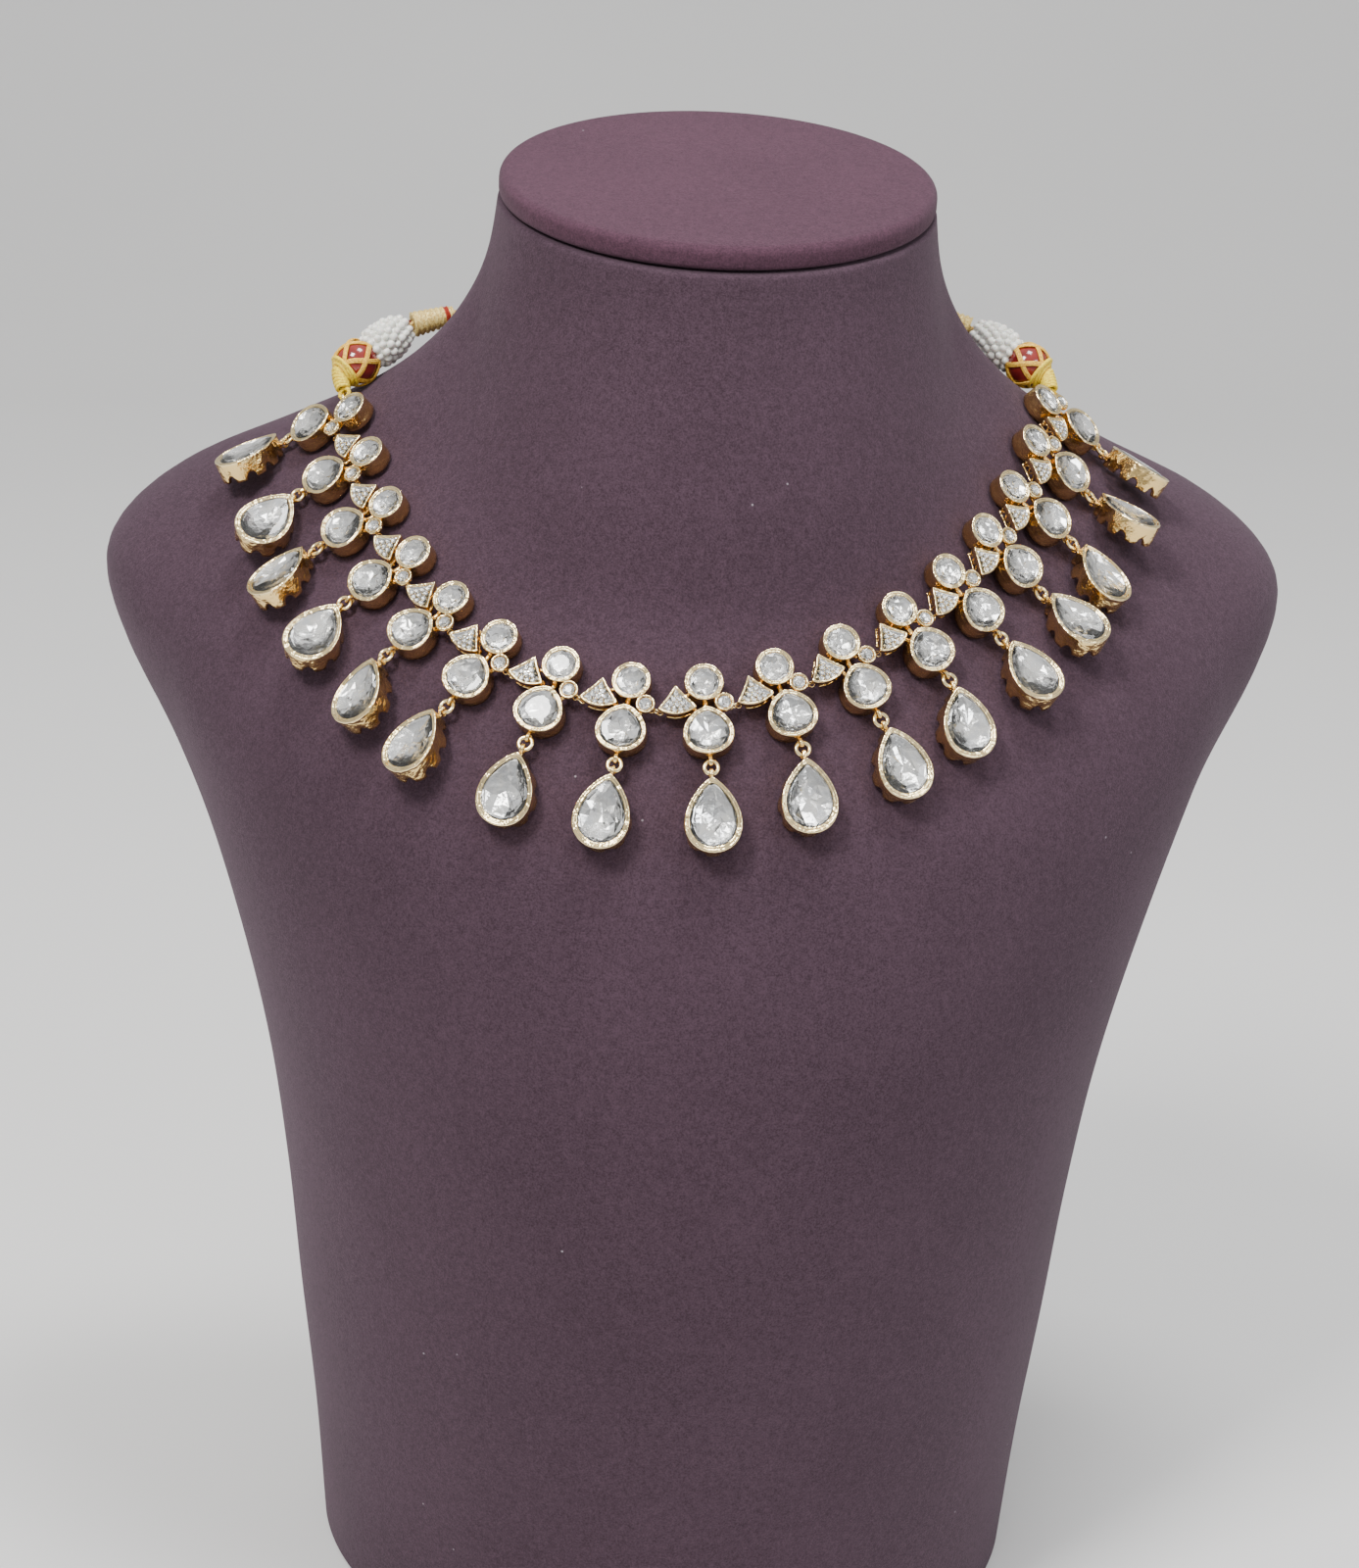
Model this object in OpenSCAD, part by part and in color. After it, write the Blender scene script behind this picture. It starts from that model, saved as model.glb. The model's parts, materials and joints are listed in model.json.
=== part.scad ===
// A row of gold settings with cut stones and pear drops, laid round a display bust.
// Lengths are in millimetres, +Z is up and the row faces -Y.

/* [Bust] */
// Height from the table to the middle of the round neck cap
bust_height = 302; // [298:1:306]
// Forward lean of the neck cap, in degrees
cap_lean = 10; // [6:1:12]
// Thickness of the neck cap
cap_thickness = 5; // [4:0.5:6]
// Narrow seam between the neck and its cap
cap_seam = 0.4; // [0.3:0.1:0.8]

/* [Row of settings] */
// Number of settings round the front, an odd number so that one hangs in the middle
unit_count = 17; // [13:2:17]
// Distance from one setting to the next, measured along the row
unit_pitch = 15.1; // [14.9:0.1:15.2]
// Least space between the back of a setting or drop and the bust
seat_gap = 0.5; // [0.4:0.1:0.7]

/* [Settings] */
// Outer diameter of the round upper cup
upper_d = 7.5; // [7.2:0.1:7.7]
// Height of the round upper cup
upper_height = 3.8; // [3.6:0.1:4.2]
// Width of the egg-shaped lower cup
lower_w = 9.8; // [9.4:0.1:10]
// Length of the egg-shaped lower cup
lower_h = 9.6; // [9.4:0.1:9.8]
// Height of the egg-shaped lower cup
lower_height = 4; // [3.8:0.1:4.4]
// Wall of the upper and lower cups
cup_wall = 0.65; // [0.6:0.05:0.8]
// Outer diameter of the small collet
collet_d = 3.7; // [3.6:0.05:3.8]
// Length of the fan plate from its tip to its curved edge
fan_r = 6.1; // [5.9:0.1:6.2]
// Half the opening angle of the fan plate, in degrees
fan_half = 39; // [36:1:40]
// Height of the fan plate's rim over the back of the setting
fan_height = 3.4; // [3.2:0.1:3.6]
// Width of the fan plate's raised rim
fan_rim = 0.45; // [0.4:0.05:0.6]

/* [Drops] */
// Width of a pear drop
drop_w = 11; // [10.6:0.1:11.2]
// Length of a pear drop without its eye
drop_h = 14.6; // [14.2:0.1:14.8]
// Height of a pear drop's cup
drop_height = 4.6; // [4.2:0.1:5]
// Wall of a pear drop's cup
drop_wall = 0.8; // [0.7:0.05:0.9]
// Share of gravity in the direction a drop hangs, the rest is the line of its setting
hang_share = 0.6; // [0.5:0.05:0.7]

/* [Stones] */
// Space left between a stone and its cup
stone_gap = 0.14; // [0.12:0.01:0.16]
// Width of a stone's table over the width of the stone
table_share = 0.62; // [0.5:0.02:0.7]
// Height of a stone's table over the rim of its cup
table_rise = 0.25; // [0.1:0.05:0.4]

/* [Rings] */
// Wire of the small rings between settings
link_wire = 0.34; // [0.3:0.02:0.36]
// Wire of the rings that carry the drops and the ends
drop_wire = 0.7; // [0.64:0.02:0.74]
// Diameter of a drop ring, measured to the middle of its wire
drop_ring_d = 2.6; // [2.5:0.05:2.8]

/* [Ends and cord] */
// Diameter of the dark ball at each end
ball_d = 9; // [8.6:0.1:9.2]
// Diameter of the pearl barrel at each end
barrel_d = 9.4; // [9:0.1:9.6]
// Diameter of the wound cone where it meets the barrel
cone_d = 5.2; // [5:0.1:5.6]
// Diameter of the cord round the back of the neck
cord_d = 1.8; // [1.6:0.1:1.9]
// Space between the cord and the holes it runs through
cord_clear = 0.3; // [0.25:0.05:0.35]

/* [Hidden] */
// Which sub-part to draw, or all of them
// Every length of the bust grows with its height
size = bust_height / 302;
// Bust sections: height, neck radius, half width, front depth, back depth, backward turn of the shoulders,
// and the shoulders' swell past the side
bust_rows = [
    [0, 40, 76.5, 78, 46, 0, 0], [30, 40, 79, 82.5, 48, 0, 0], [60, 40, 82.5, 87, 50, 0, 0],
    [90, 40, 85.7, 91, 52.5, 0, 0], [120, 40, 90.3, 93, 55, 0, 0], [150, 42, 97.7, 92, 57, 1.5, 0],
    [180, 46, 107.5, 86, 57, 4, 4.5], [200, 50, 116.5, 75.5, 56, 7.5, 6.5],
    [215, 53, 121.5, 63, 53, 10.5, 6], [225, 54.5, 119.5, 53, 47, 13, 4], [235, 55, 111, 45, 41, 15.5, 0],
    [245, 54, 90, 38, 36, 16.5, 0], [255, 51.8, 70.5, 29.5, 31, 11, 0], [265, 49.4, 56, 19.5, 25, 6, 0],
    [275, 47.3, 45, 13, 18, 3.5, 0], [286, 45.4, 35, 9, 9, 1.5, 0], [298, 44.2, 28, 7, 7, 0, 0]
];
// Angles from the front between which the shoulders' swell comes in, and that at which it starts to fade
swell_from = 80;
swell_to = 100;
swell_fade = 120;
// The row's line on the bust: angle round the neck from the front, height
row_line = [
    [-180, 281], [-155, 280.2], [-135, 277.5], [-120, 272], [-112, 267.5], [-104, 261], [-97, 253.8],
    [-90, 246.8], [-80, 240], [-70, 232.9], [-60, 225.8], [-49, 219.4], [-37.5, 213.9], [-26, 210.4],
    [-14, 208.6], [-2, 208.9], [10.5, 211.8], [23.5, 216], [35.5, 220.7],
    [47.5, 226.2], [59.5, 232.4], [71.5, 239.1], [82, 245.4], [92, 251.6], [98, 255],
    [104, 259], [112, 266], [120, 272], [135, 277.5], [155, 280.2], [180, 281]
];
// Angle round the neck at which the middle setting hangs
row_middle = -1.9;
// How far each drop turns about its own length, and how far it swings sideways, in degrees
drop_poses = [
    [-12, -14], [22, 3], [-15, 8], [12, 2], [-16, 4], [-18, 14], [0, 8], [0, 6], [0, 0],
    [0, 2], [0, -8], [0, 0], [0, -4], [0, -4], [8, 2], [16, 6], [22, 16]
];
// Height of the link eyes' middle over the back of a setting
link_level = 0.9;
// Height of the hinge eyes' middle over the back of a setting or drop
hinge_level = 1.8;
// Hinge eyes: outer radius, hole radius and thickness
hinge_r = 1.05;
hinge_hole = 0.68;
hinge_t = 0.55;
// Link eyes: outer radius, hole radius and thickness
eye_r = 0.7;
eye_hole = 0.46;
eye_t = 0.5;
// End eyes: outer radius and hole radius
end_eye_r = 1.05;
end_eye_hole = 0.6;
// Middles of the two cups, the collet and the fan's tip in a setting's own frame
upper_y = 4.95;
lower_y = -4.95;
collet_x = 3.55;
collet_y = 0.75;
fan_x = -5.5;
fan_y = 4.9;
fan_low = 0.5;
// Middles of the link eyes on the collet and on the fan, and of the first setting's end eye
right_eye = [4.7, 0.5];
left_eye = [fan_x - fan_r * sin(fan_half) + 0.63, fan_y - fan_r * cos(fan_half) + 0.08];
right_end_eye = [5.7, 0.1];
left_end_eye = [-4.5, 1.9];
// Middle of the hinge eye below the lower cup, and above a drop
hinge_y = lower_y - lower_h / 2 - 0.9;
drop_eye_y = drop_h / 2 + 0.95;
// Collet: radius, underside, wall
collet_r = collet_d / 2;
collet_low = 2.35;
collet_wall = 0.45;
collet_height = 3.4;
// Depth of a cup above its floor, and the floor's thickness
cup_depth = 1.5;
cup_floor = 0.6;
// End ring and thread tie: radii to the middle of their wires, and the wires
end_ring_r = 1.15;
end_wire = 0.6;
tie_ring_r = 1.1;
tie_wire = 0.8;
// Places along the row past the end eyes: end of the tie, middle of the ball, barrel and cone
tie_end = 5.3;
tie_gap = 0.3;
tie_bore = 1.2;
ball_at = tie_end + tie_gap + ball_d / 2;
barrel_start = ball_at + ball_d / 2 - 1.4;
barrel_long = 10.8;
barrel_end = barrel_start + barrel_long;
cone_start = barrel_end + 0.3;
cone_long = 9;
cone_end = cone_start + cone_long;
barrel_mouth_r = barrel_d / 2 - 0.7;
barrel_tail_r = barrel_d / 2 - 1.5;
cone_tip_r = 1.75;
bore_r = cord_d / 2 + cord_clear;

function unit(v) = v / norm(v);
function angle_two(x, y) = atan2(x, -y);

// Smooth value of one column of a table at a given first column
function last_row(t, x) = min(floor(lookup(x, [for (i = [0:len(t) - 1]) [t[i][0], i]]) + 1e-9), len(t) - 2);
function tilt_at(t, c, i) =
    let (a = max(i - 1, 0), b = min(i + 1, len(t) - 1))
    (t[b][c] - t[a][c]) / (t[b][0] - t[a][0]);
function smooth_at(t, c, x) =
    let (i = last_row(t, x), w = t[i + 1][0] - t[i][0], s = min(max((x - t[i][0]) / w, 0), 1))
    t[i][c] * (1 + 2 * s) * (1 - s) * (1 - s) + t[i + 1][c] * s * s * (3 - 2 * s)
    + w * (tilt_at(t, c, i) * s * (1 - s) * (1 - s) - tilt_at(t, c, i + 1) * s * s * (1 - s));

// The neck leans forward with its cap: share of the cap's lean at a height
neck_top = bust_height - (cap_thickness + cap_seam) / cos(cap_lean);
lean_from = 262 * size;
function lean_share(z) = max(0, (z - lean_from) / (neck_top - lean_from));

// Share of the shoulders' swell at an angle round the neck: none in front or at the middle of the back
function eased(x) = let (s = min(max(x, 0), 1)) s * s * (3 - 2 * s);
function swell_share(a) =
    let (off = acos(cos(a)))
    eased((off - swell_from) / (swell_to - swell_from)) * eased((180 - off) / (180 - swell_fade));

// Distance of the bust's skin from the neck's axis: an ellipse for the body, blended with a round neck
function skin_r(a, z) =
    let (
        h = z / size,
        w = smooth_at(bust_rows, 2, h),
        t = a - smooth_at(bust_rows, 5, h) * sin(a),
        d = smooth_at(bust_rows, cos(t) > 0 ? 3 : 4, h),
        swell = smooth_at(bust_rows, 6, h) * swell_share(a),
        body = 1 / sqrt(pow(sin(t) / w, 2) + pow(cos(t) / d, 2)) + swell,
        neck = smooth_at(bust_rows, 1, h)
    )
    size * pow(pow(body, 8) + pow(neck, 8), 1 / 8);
function skin(a, z) =
    let (r = skin_r(a, z))
    [r * sin(a), -r * cos(a), z - lean_share(z) * tan(cap_lean) * r * cos(a)];
function skin_out(a, z) =
    unit(cross(skin(a + 0.5, z) - skin(a - 0.5, z), skin(a, z + 0.5) - skin(a, z - 0.5)));

// The row's line, its length from the start and the places found from that length
function row_height(a) = size * smooth_at(row_line, 1, a);
function row_point(a, lift) =
    let (z = row_height(a))
    skin(a, z) + lift * skin_out(a, z);
row_angles = [for (a = [-180:2.5:180]) a];
row_points = [for (a = row_angles) row_point(a, 1.8)];
row_lengths = [
    for (i = 0, s = 0; i < len(row_points);
         i = i + 1, s = s + (i < len(row_points) ? norm(row_points[i] - row_points[i - 1]) : 0)) s
];
length_of_angle = [for (i = [0:len(row_angles) - 1]) [row_angles[i], row_lengths[i]]];
angle_of_length = [for (i = [0:len(row_angles) - 1]) [row_lengths[i], row_angles[i]]];
middle_length = lookup(row_middle, length_of_angle);
half_row = (unit_count - 1) / 2 * unit_pitch;
function row_angle(s) = lookup(middle_length + s, angle_of_length);

// A frame is [place, right, up, out]: right runs along the row and out points away from the bust
function at(f, p) = f[0] + p[0] * f[1] + p[1] * f[2] + p[2] * f[3];
function frame_of(p, ahead, out) =
    let (z = unit(out - (out * ahead) / (ahead * ahead) * ahead), x = unit(ahead))
    [p, x, cross(z, x), z];
module put(f) {
    multmatrix([
        [f[1][0], f[2][0], f[3][0], f[0][0]],
        [f[1][1], f[2][1], f[3][1], f[0][1]],
        [f[1][2], f[2][2], f[3][2], f[0][2]],
        [0, 0, 0, 1]
    ]) children();
}

// Space between a place and the bust, and a frame moved out until its nearest back place is seated
function clearance(q) =
    let (a = angle_two(q[0], q[1]), n = skin_out(a, q[2]))
    (norm([q[0], q[1]]) - skin_r(a, q[2])) * (n * [sin(a), -cos(a), 0]);
function room(f, places) = min([for (p = places) clearance(at(f, p))]);
function seated(f, places) = [f[0] + (seat_gap - room(f, places)) * f[3], f[1], f[2], f[3]];
setting_back = concat(
    [for (t = [0:45:315]) [upper_d / 2 * cos(t), upper_y + upper_d / 2 * sin(t), 0]],
    [for (t = [0:45:315]) [lower_w / 2 * cos(t), lower_y + lower_h / 2 * sin(t), 0]],
    [for (t = [-fan_half, 0, fan_half]) [fan_x + fan_r * sin(t), fan_y - fan_r * cos(t), fan_low]],
    [[fan_x, fan_y, fan_low], [0, hinge_y, hinge_level - hinge_r]]
);
drop_back = [for (p = egg(drop_w, drop_h, 0.6, 12)) [p[0], p[1], 0]];

function setting_frame(i) =
    let (
        s = (i - 1) * unit_pitch - half_row,
        p = row_point(row_angle(s), seat_gap),
        from = row_angle(s + left_eye[0]),
        to = row_angle(s + right_eye[0]),
        out = skin_out(from, row_height(from)) + skin_out(row_angle(s), p[2]) + skin_out(to, row_height(to))
    )
    seated(frame_of(p, row_point(to, seat_gap) - row_point(from, seat_gap), out), setting_back);
setting_frames = [for (i = [1:unit_count]) setting_frame(i)];

// A drop hangs from its hinge, part way between its setting's line and gravity, and rests on the bust
function hang_way(f) =
    let (down = -[0, 0, 1] + f[3][2] * f[3])
    unit(-(1 - hang_share) * f[2] + hang_share * unit(down));
function drop_lie(i, lift) =
    let (
        f = setting_frames[i - 1],
        turn = drop_poses[i - 1][0],
        swing = drop_poses[i - 1][1],
        way = cos(swing) * hang_way(f) + sin(swing) * cross(hang_way(f), f[3]),
        eye = at(f, [0, hinge_y - drop_ring_d / 2, hinge_level]) + drop_ring_d / 2 * way,
        far = eye + drop_eye_y * way,
        a = angle_two(far[0], far[1]),
        out = skin_out(a, far[2]),
        up = unit(eye - skin(a, far[2]) - lift * out),
        flat_out = unit(out - (out * up) * up),
        face = cos(turn) * flat_out + sin(turn) * cross(up, flat_out)
    )
    [eye - drop_eye_y * up - hinge_level * face, cross(up, face), up, face];
function drop_frame(i, lift = 3, tries = 6) =
    let (f = drop_lie(i, lift))
    tries == 0 ? f : drop_frame(i, lift + 0.9 * (seat_gap - room(f, drop_back)), tries - 1);
drop_frames = [for (i = [1:unit_count]) drop_frame(i)];

// Frame of a ring through two places: its own x runs from one to the other, its z is its axis
function ring_frame(p, q, beside) =
    let (x = unit(q - p), z = unit(beside - (beside * x) * x))
    [(p + q) / 2, x, cross(z, x), z];

// Closed outlines, from a round cup to a pear: blunt 0 is an ellipse, 0.6 a pear with its tip up
function egg(w, h, blunt, sides) =
    let (top = max([for (t = [1:179]) sin(t) * pow(sin(t / 2), blunt)]))
    [for (i = [0:sides - 1]) let (t = (i + 0.5) * 360 / sides)
        [-w / 2 * sin(t) * pow(abs(sin(t / 2)), blunt) / top, h / 2 * cos(t)]];

// A bar between two places in a setting's plane
module bar(p, q, w, low, high) {
    d = q - p;
    translate([p[0], p[1], low])
        rotate([0, 0, atan2(d[1], d[0])])
            translate([0, -w / 2, 0]) cube([norm(d), w, high - low]);
}

// A cup without its hollows, and its hollows above and below the floor
module cup_solid(outline, high) {
    linear_extrude(height = high) polygon(outline);
}
module cup_hollow(outline, high) {
    translate([0, 0, high - cup_depth]) linear_extrude(height = cup_depth + 1) polygon(outline);
    translate([0, 0, -1]) linear_extrude(height = high - cup_depth - cup_floor + 1) polygon(outline);
}

// An eye that lies flat, tied to its setting by a short bar, and its hole
module flat_eye(p, from, r) {
    low = link_level - eye_t / 2;
    translate([p[0], p[1], low]) cylinder(h = eye_t, r = r, $fn = 24);
    bar(from, p, r * 1.3, low, low + eye_t);
}
module flat_eye_hole(p, r) {
    translate([p[0], p[1], -1]) cylinder(h = link_level + 2, r = r, $fn = 24);
}

// An eye that stands across a setting or drop, and its hole
module hinge_eye(y, from) {
    translate([-hinge_t / 2, y, hinge_level]) rotate([0, 90, 0]) cylinder(h = hinge_t, r = hinge_r, $fn = 24);
    translate([-hinge_t / 2, min(from, y + 0.75), hinge_level - 0.7])
        cube([hinge_t, abs(from - y - 0.75), 1.4]);
}
module hinge_eye_hole(y) {
    translate([-1, y, hinge_level]) rotate([0, 90, 0]) cylinder(h = 2, r = hinge_hole, $fn = 24);
}

// The fan plate: a slice of a disc about its tip, sunk inside its rim, with an open side gallery
module fan_slice(inset, low, high) {
    reach = fan_r - inset;
    back = inset / sin(fan_half);
    points = [for (t = [-fan_half:fan_half / 5:fan_half])
        let (r = sqrt(pow(reach, 2) - pow(back * sin(t), 2)) - back * cos(t))
        [r * sin(t), -back - r * cos(t)]];
    translate([fan_x, fan_y, low])
        linear_extrude(height = high - low) polygon(concat([[0, -back]], points));
}
module fan_body() {
    difference() {
        fan_slice(0, fan_low, fan_height);
        fan_slice(fan_rim, fan_height - 0.45, fan_height + 1);
        fan_slice(0.7, -1, fan_height - 1.3);
        for (t = [-0.55, 0, 0.55])
            translate([fan_x, fan_y, 1.3]) rotate([0, 0, -90 + t * fan_half])
                translate([fan_r - 2, 0, 0]) rotate([0, 90, 0]) cylinder(h = 3, r = 0.62, $fn = 16);
        translate([left_eye[0] - 0.4, left_eye[1], -1]) cylinder(h = collet_low + 1, r = 1.25, $fn = 24);
    }
}

// One soldered setting: upper and lower cups, collet, fan plate or end eye, bars and eyes
module setting(i) {
    first = i == 1;
    last = i == unit_count;
    low = link_level - 0.2;
    difference() {
        union() {
            translate([0, upper_y, 0]) cylinder(h = upper_height, d = upper_d, $fn = 48);
            translate([0, lower_y, 0]) cup_solid(egg(lower_w, lower_h, 0.3, 28), lower_height);
            translate([collet_x, collet_y, collet_low])
                cylinder(h = collet_height - collet_low, r = collet_r, $fn = 32);
            translate([collet_x, collet_y, low]) cylinder(h = collet_low - low + 0.2, r = 0.6, $fn = 20);
            bar([0, upper_y - upper_d / 2 + 0.4], [0, lower_y + lower_h / 2 - 0.5], 1.1, low, 2.2);
            bar([collet_x, collet_y], [1.5, 2.2], 0.8, low, 2);
            bar([collet_x, collet_y], [2.1, -1.6], 0.8, low, 2);
            if (last) flat_eye(right_end_eye, [collet_x, collet_y], end_eye_r);
            else flat_eye(right_eye, [collet_x, collet_y], eye_r);
            if (first) flat_eye(left_end_eye, [0, 0.4], end_eye_r);
            else {
                fan_body();
                bar([-3.9, 2.9], [-2.6, 3.2], 0.9, low + 0.1, 2.3);
                bar([-2.1, 0.7], [-1.9, -1], 0.9, low + 0.1, 2.2);
                flat_eye(left_eye, left_eye + [1.9, 0.35], eye_r);
            }
            hinge_eye(hinge_y, lower_y - lower_h / 2 + 0.4);
        }
        translate([0, upper_y, upper_height - cup_depth])
            cylinder(h = cup_depth + 1, d = upper_d - 2 * cup_wall, $fn = 48);
        translate([0, upper_y, -1])
            cylinder(h = upper_height - cup_depth - cup_floor + 1, d = upper_d - 2 * cup_wall, $fn = 48);
        translate([0, lower_y, 0])
            cup_hollow(egg(lower_w - 2 * cup_wall, lower_h - 2 * cup_wall, 0.3, 28), lower_height);
        translate([collet_x, collet_y, collet_height - 0.7]) cylinder(h = 2, r = collet_r - collet_wall, $fn = 32);
        if (last) flat_eye_hole(right_end_eye, end_eye_hole);
        else flat_eye_hole(right_eye, eye_hole);
        if (first) flat_eye_hole(left_end_eye, end_eye_hole);
        else translate([left_eye[0], left_eye[1], -1]) cylinder(h = collet_low + 0.9, r = eye_hole, $fn = 24);
        hinge_eye_hole(hinge_y);
    }
}

// One pear drop: cup with a notched back gallery and its own eye
module drop() {
    difference() {
        union() {
            cup_solid(egg(drop_w, drop_h, 0.6, 32), drop_height);
            hinge_eye(drop_eye_y, drop_h / 2 - 0.8);
        }
        cup_hollow(egg(drop_w - 2 * drop_wall, drop_h - 2.4 * drop_wall, 0.6, 32), drop_height);
        for (a = [24, 68, 112, 156, 204, 248, 292, 336])
            translate([0, -1, 0.2]) rotate([0, 0, a]) translate([2, 0, 0]) rotate([0, 90, 0])
                cylinder(h = 10, r = 1.15, $fn = 20);
        hinge_eye_hole(drop_eye_y);
    }
}

// A cut stone: straight girdle, slanting crown facets and a flat table
module stone(outline, low, girdle, top) {
    n = len(outline);
    half = n / 2;
    table = [for (i = [0:half - 1]) (outline[2 * i] + outline[2 * i + 1]) / 2 * table_share];
    points = concat(
        [for (p = outline) [p[0], p[1], low]],
        [for (p = outline) [p[0], p[1], girdle]],
        [for (p = table) [p[0], p[1], top]]
    );
    sides = [for (i = [0:n - 1]) [i, (i + 1) % n, n + (i + 1) % n, n + i]];
    mains = [for (i = [0:half - 1]) [n + 2 * i, n + 2 * i + 1, 2 * n + i]];
    rises = [for (i = [0:half - 1]) let (j = (i + 1) % half) [n + 2 * i + 1, n + 2 * j, 2 * n + i]];
    falls = [for (i = [0:half - 1]) let (j = (i + 1) % half) [n + 2 * j, 2 * n + j, 2 * n + i]];
    polyhedron(points, [for (f = concat(
        [[for (i = [n - 1:-1:0]) i]], sides, mains, rises, falls, [[for (i = [0:half - 1]) 2 * n + i]]
    )) [for (k = [len(f) - 1:-1:0]) f[k]]]);
}
module cup_stone(w, h, blunt, high, sides) {
    low = high - cup_depth + stone_gap;
    stone(egg(w - 2 * stone_gap, h - 2 * stone_gap, blunt, sides), low, high - 0.35, high + table_rise);
}

// A small ring of round wire in its own frame
module ring(r, wire, sides) {
    rotate([0, 0, 180 / sides]) rotate_extrude($fn = sides) translate([r, 0]) circle(d = wire, $fn = 6);
}
module link_ring(i) {
    p = at(setting_frames[i - 1], [right_eye[0], right_eye[1], link_level]);
    q = at(setting_frames[i], [left_eye[0], left_eye[1], link_level]);
    out = setting_frames[i - 1][3] + setting_frames[i][3];
    put(ring_frame(p, q, cross(q - p, out))) ring(norm(q - p) / 2, link_wire, 14);
}
function drop_ring_frame(i) =
    let (
        f = setting_frames[i - 1],
        g = drop_frames[i - 1],
        p = at(f, [0, hinge_y, hinge_level]),
        q = at(g, [0, drop_eye_y, hinge_level]),
        r = ring_frame(p, q, f[3] + g[3]),
        off = sqrt(max(0, pow(drop_ring_d / 2, 2) - (q - p) * (q - p) / 4)),
        side = (p - drop_ring_d / 2 * f[2] - r[0]) * r[2] < 0 ? -1 : 1
    )
    [r[0] + side * off * r[2], r[1], r[2], r[3]];
module drop_ring(i) {
    put(drop_ring_frame(i)) ring(drop_ring_d / 2, drop_wire, 14);
}

// The end pieces lie along the row past the last setting; side is -1 left and 1 right
end_lifts = [
    [0, 1.8], [tie_end, 3.6], [ball_at, ball_d / 2 + 0.5], [barrel_start, 5.2],
    [barrel_end, 6.2], [cone_end, 3.6], [cone_end + 14, cord_d / 2 + 0.6]
];
function end_angle(side, s) =
    row_angle(side * (half_row + s + (side < 0 ? -left_end_eye[0] : right_end_eye[0])));
function end_point(side, s) = row_point(end_angle(side, s), lookup(s, end_lifts));
// The ball and the barrel share one straight line, and the cone goes on from the barrel's end
function ball_middle(side) = end_point(side, ball_at);
function end_way(side) = unit(end_point(side, barrel_end) - ball_middle(side));
function axis_at(side, d) =
    frame_of(ball_middle(side) + d * end_way(side), end_way(side), skin_out(end_angle(side, ball_at), ball_middle(side)[2]));
function cone_joint(side) = axis_at(side, barrel_long + barrel_start - ball_at)[0];
function cone_way(side) = unit(end_point(side, cone_end) - cone_joint(side));
function cone_gap(side) = 0.3 + cone_d / 2 * norm(cross(end_way(side), cone_way(side)));
function cone_at(side, d) =
    frame_of(
        cone_joint(side) + (cone_gap(side) + d) * cone_way(side), cone_way(side),
        skin_out(end_angle(side, cone_start), cone_joint(side)[2])
    );
// Turns a piece that is drawn about +Z so that it lies along its frame's right
module lie(f) {
    put(f) rotate([0, 90, 0]) children();
}
function end_eye_place(side) =
    side < 0
    ? at(setting_frames[0], [left_end_eye[0], left_end_eye[1], link_level])
    : at(setting_frames[unit_count - 1], [right_end_eye[0], right_end_eye[1], link_level]);
function tie_far(side) = axis_at(side, -ball_d / 2 - tie_gap)[0];
function tie_near(side) =
    let (p = end_eye_place(side))
    p + unit(tie_far(side) - p) * 2 * end_ring_r;
function tie_frame(side) =
    let (p = tie_near(side))
    frame_of(p, tie_far(side) - p, skin_out(end_angle(side, 0), p[2]));

module end_ring(side) {
    p = end_eye_place(side);
    q = tie_near(side);
    out = setting_frames[side < 0 ? 0 : unit_count - 1][3];
    put(ring_frame(p, q, cross(q - p, out))) ring(end_ring_r, end_wire, 14);
}
module tie(side) {
    start = -end_wire / 2 - tie_wire / 2 - 0.12;
    long = norm(tie_far(side) - tie_near(side));
    neck = start + 2 * tie_ring_r;
    difference() {
        put(tie_frame(side)) {
            translate([start + tie_ring_r, 0, 0])
                rotate_extrude($fn = 24) translate([tie_ring_r, 0]) circle(d = tie_wire, $fn = 16);
            translate([neck - 0.1, 0, 0]) rotate([0, 90, 0]) cylinder(h = long - neck + 0.1, r1 = 1.3, r2 = 2.1, $fn = 24);
        }
        lie(axis_at(side, -ball_d / 2 - tie_gap - tie_bore)) cylinder(h = 3 * tie_bore, r = bore_r, $fn = 24);
        lie(axis_at(side, -ball_d / 2 - tie_gap)) cylinder(h = 3, r = 4, $fn = 24);
    }
}
module ball(side) {
    lie(axis_at(side, 0)) difference() {
        sphere(d = ball_d, $fn = 48);
        cylinder(h = ball_d + 2, r = bore_r, center = true, $fn = 24);
    }
}
module barrel(side) {
    lie(axis_at(side, barrel_start - ball_at)) difference() {
        rotate_extrude($fn = 48) polygon([
            [bore_r, 0], [barrel_mouth_r, 0], [barrel_d / 2, barrel_long * 0.3],
            [barrel_d / 2 - 0.2, barrel_long * 0.65], [barrel_tail_r, barrel_long], [bore_r, barrel_long]
        ]);
        translate([0, 0, ball_at - barrel_start]) sphere(d = ball_d + 0.5, $fn = 48);
    }
}
module cone(side) {
    lie(cone_at(side, 0)) rotate_extrude($fn = 48) polygon([
        [bore_r, 0], [cone_d / 2, 0], [cone_d / 2 - 0.2, 2], [cone_tip_r + 0.3, cone_long - 2],
        [cone_tip_r, cone_long], [bore_r, cone_long]
    ]);
}

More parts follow.
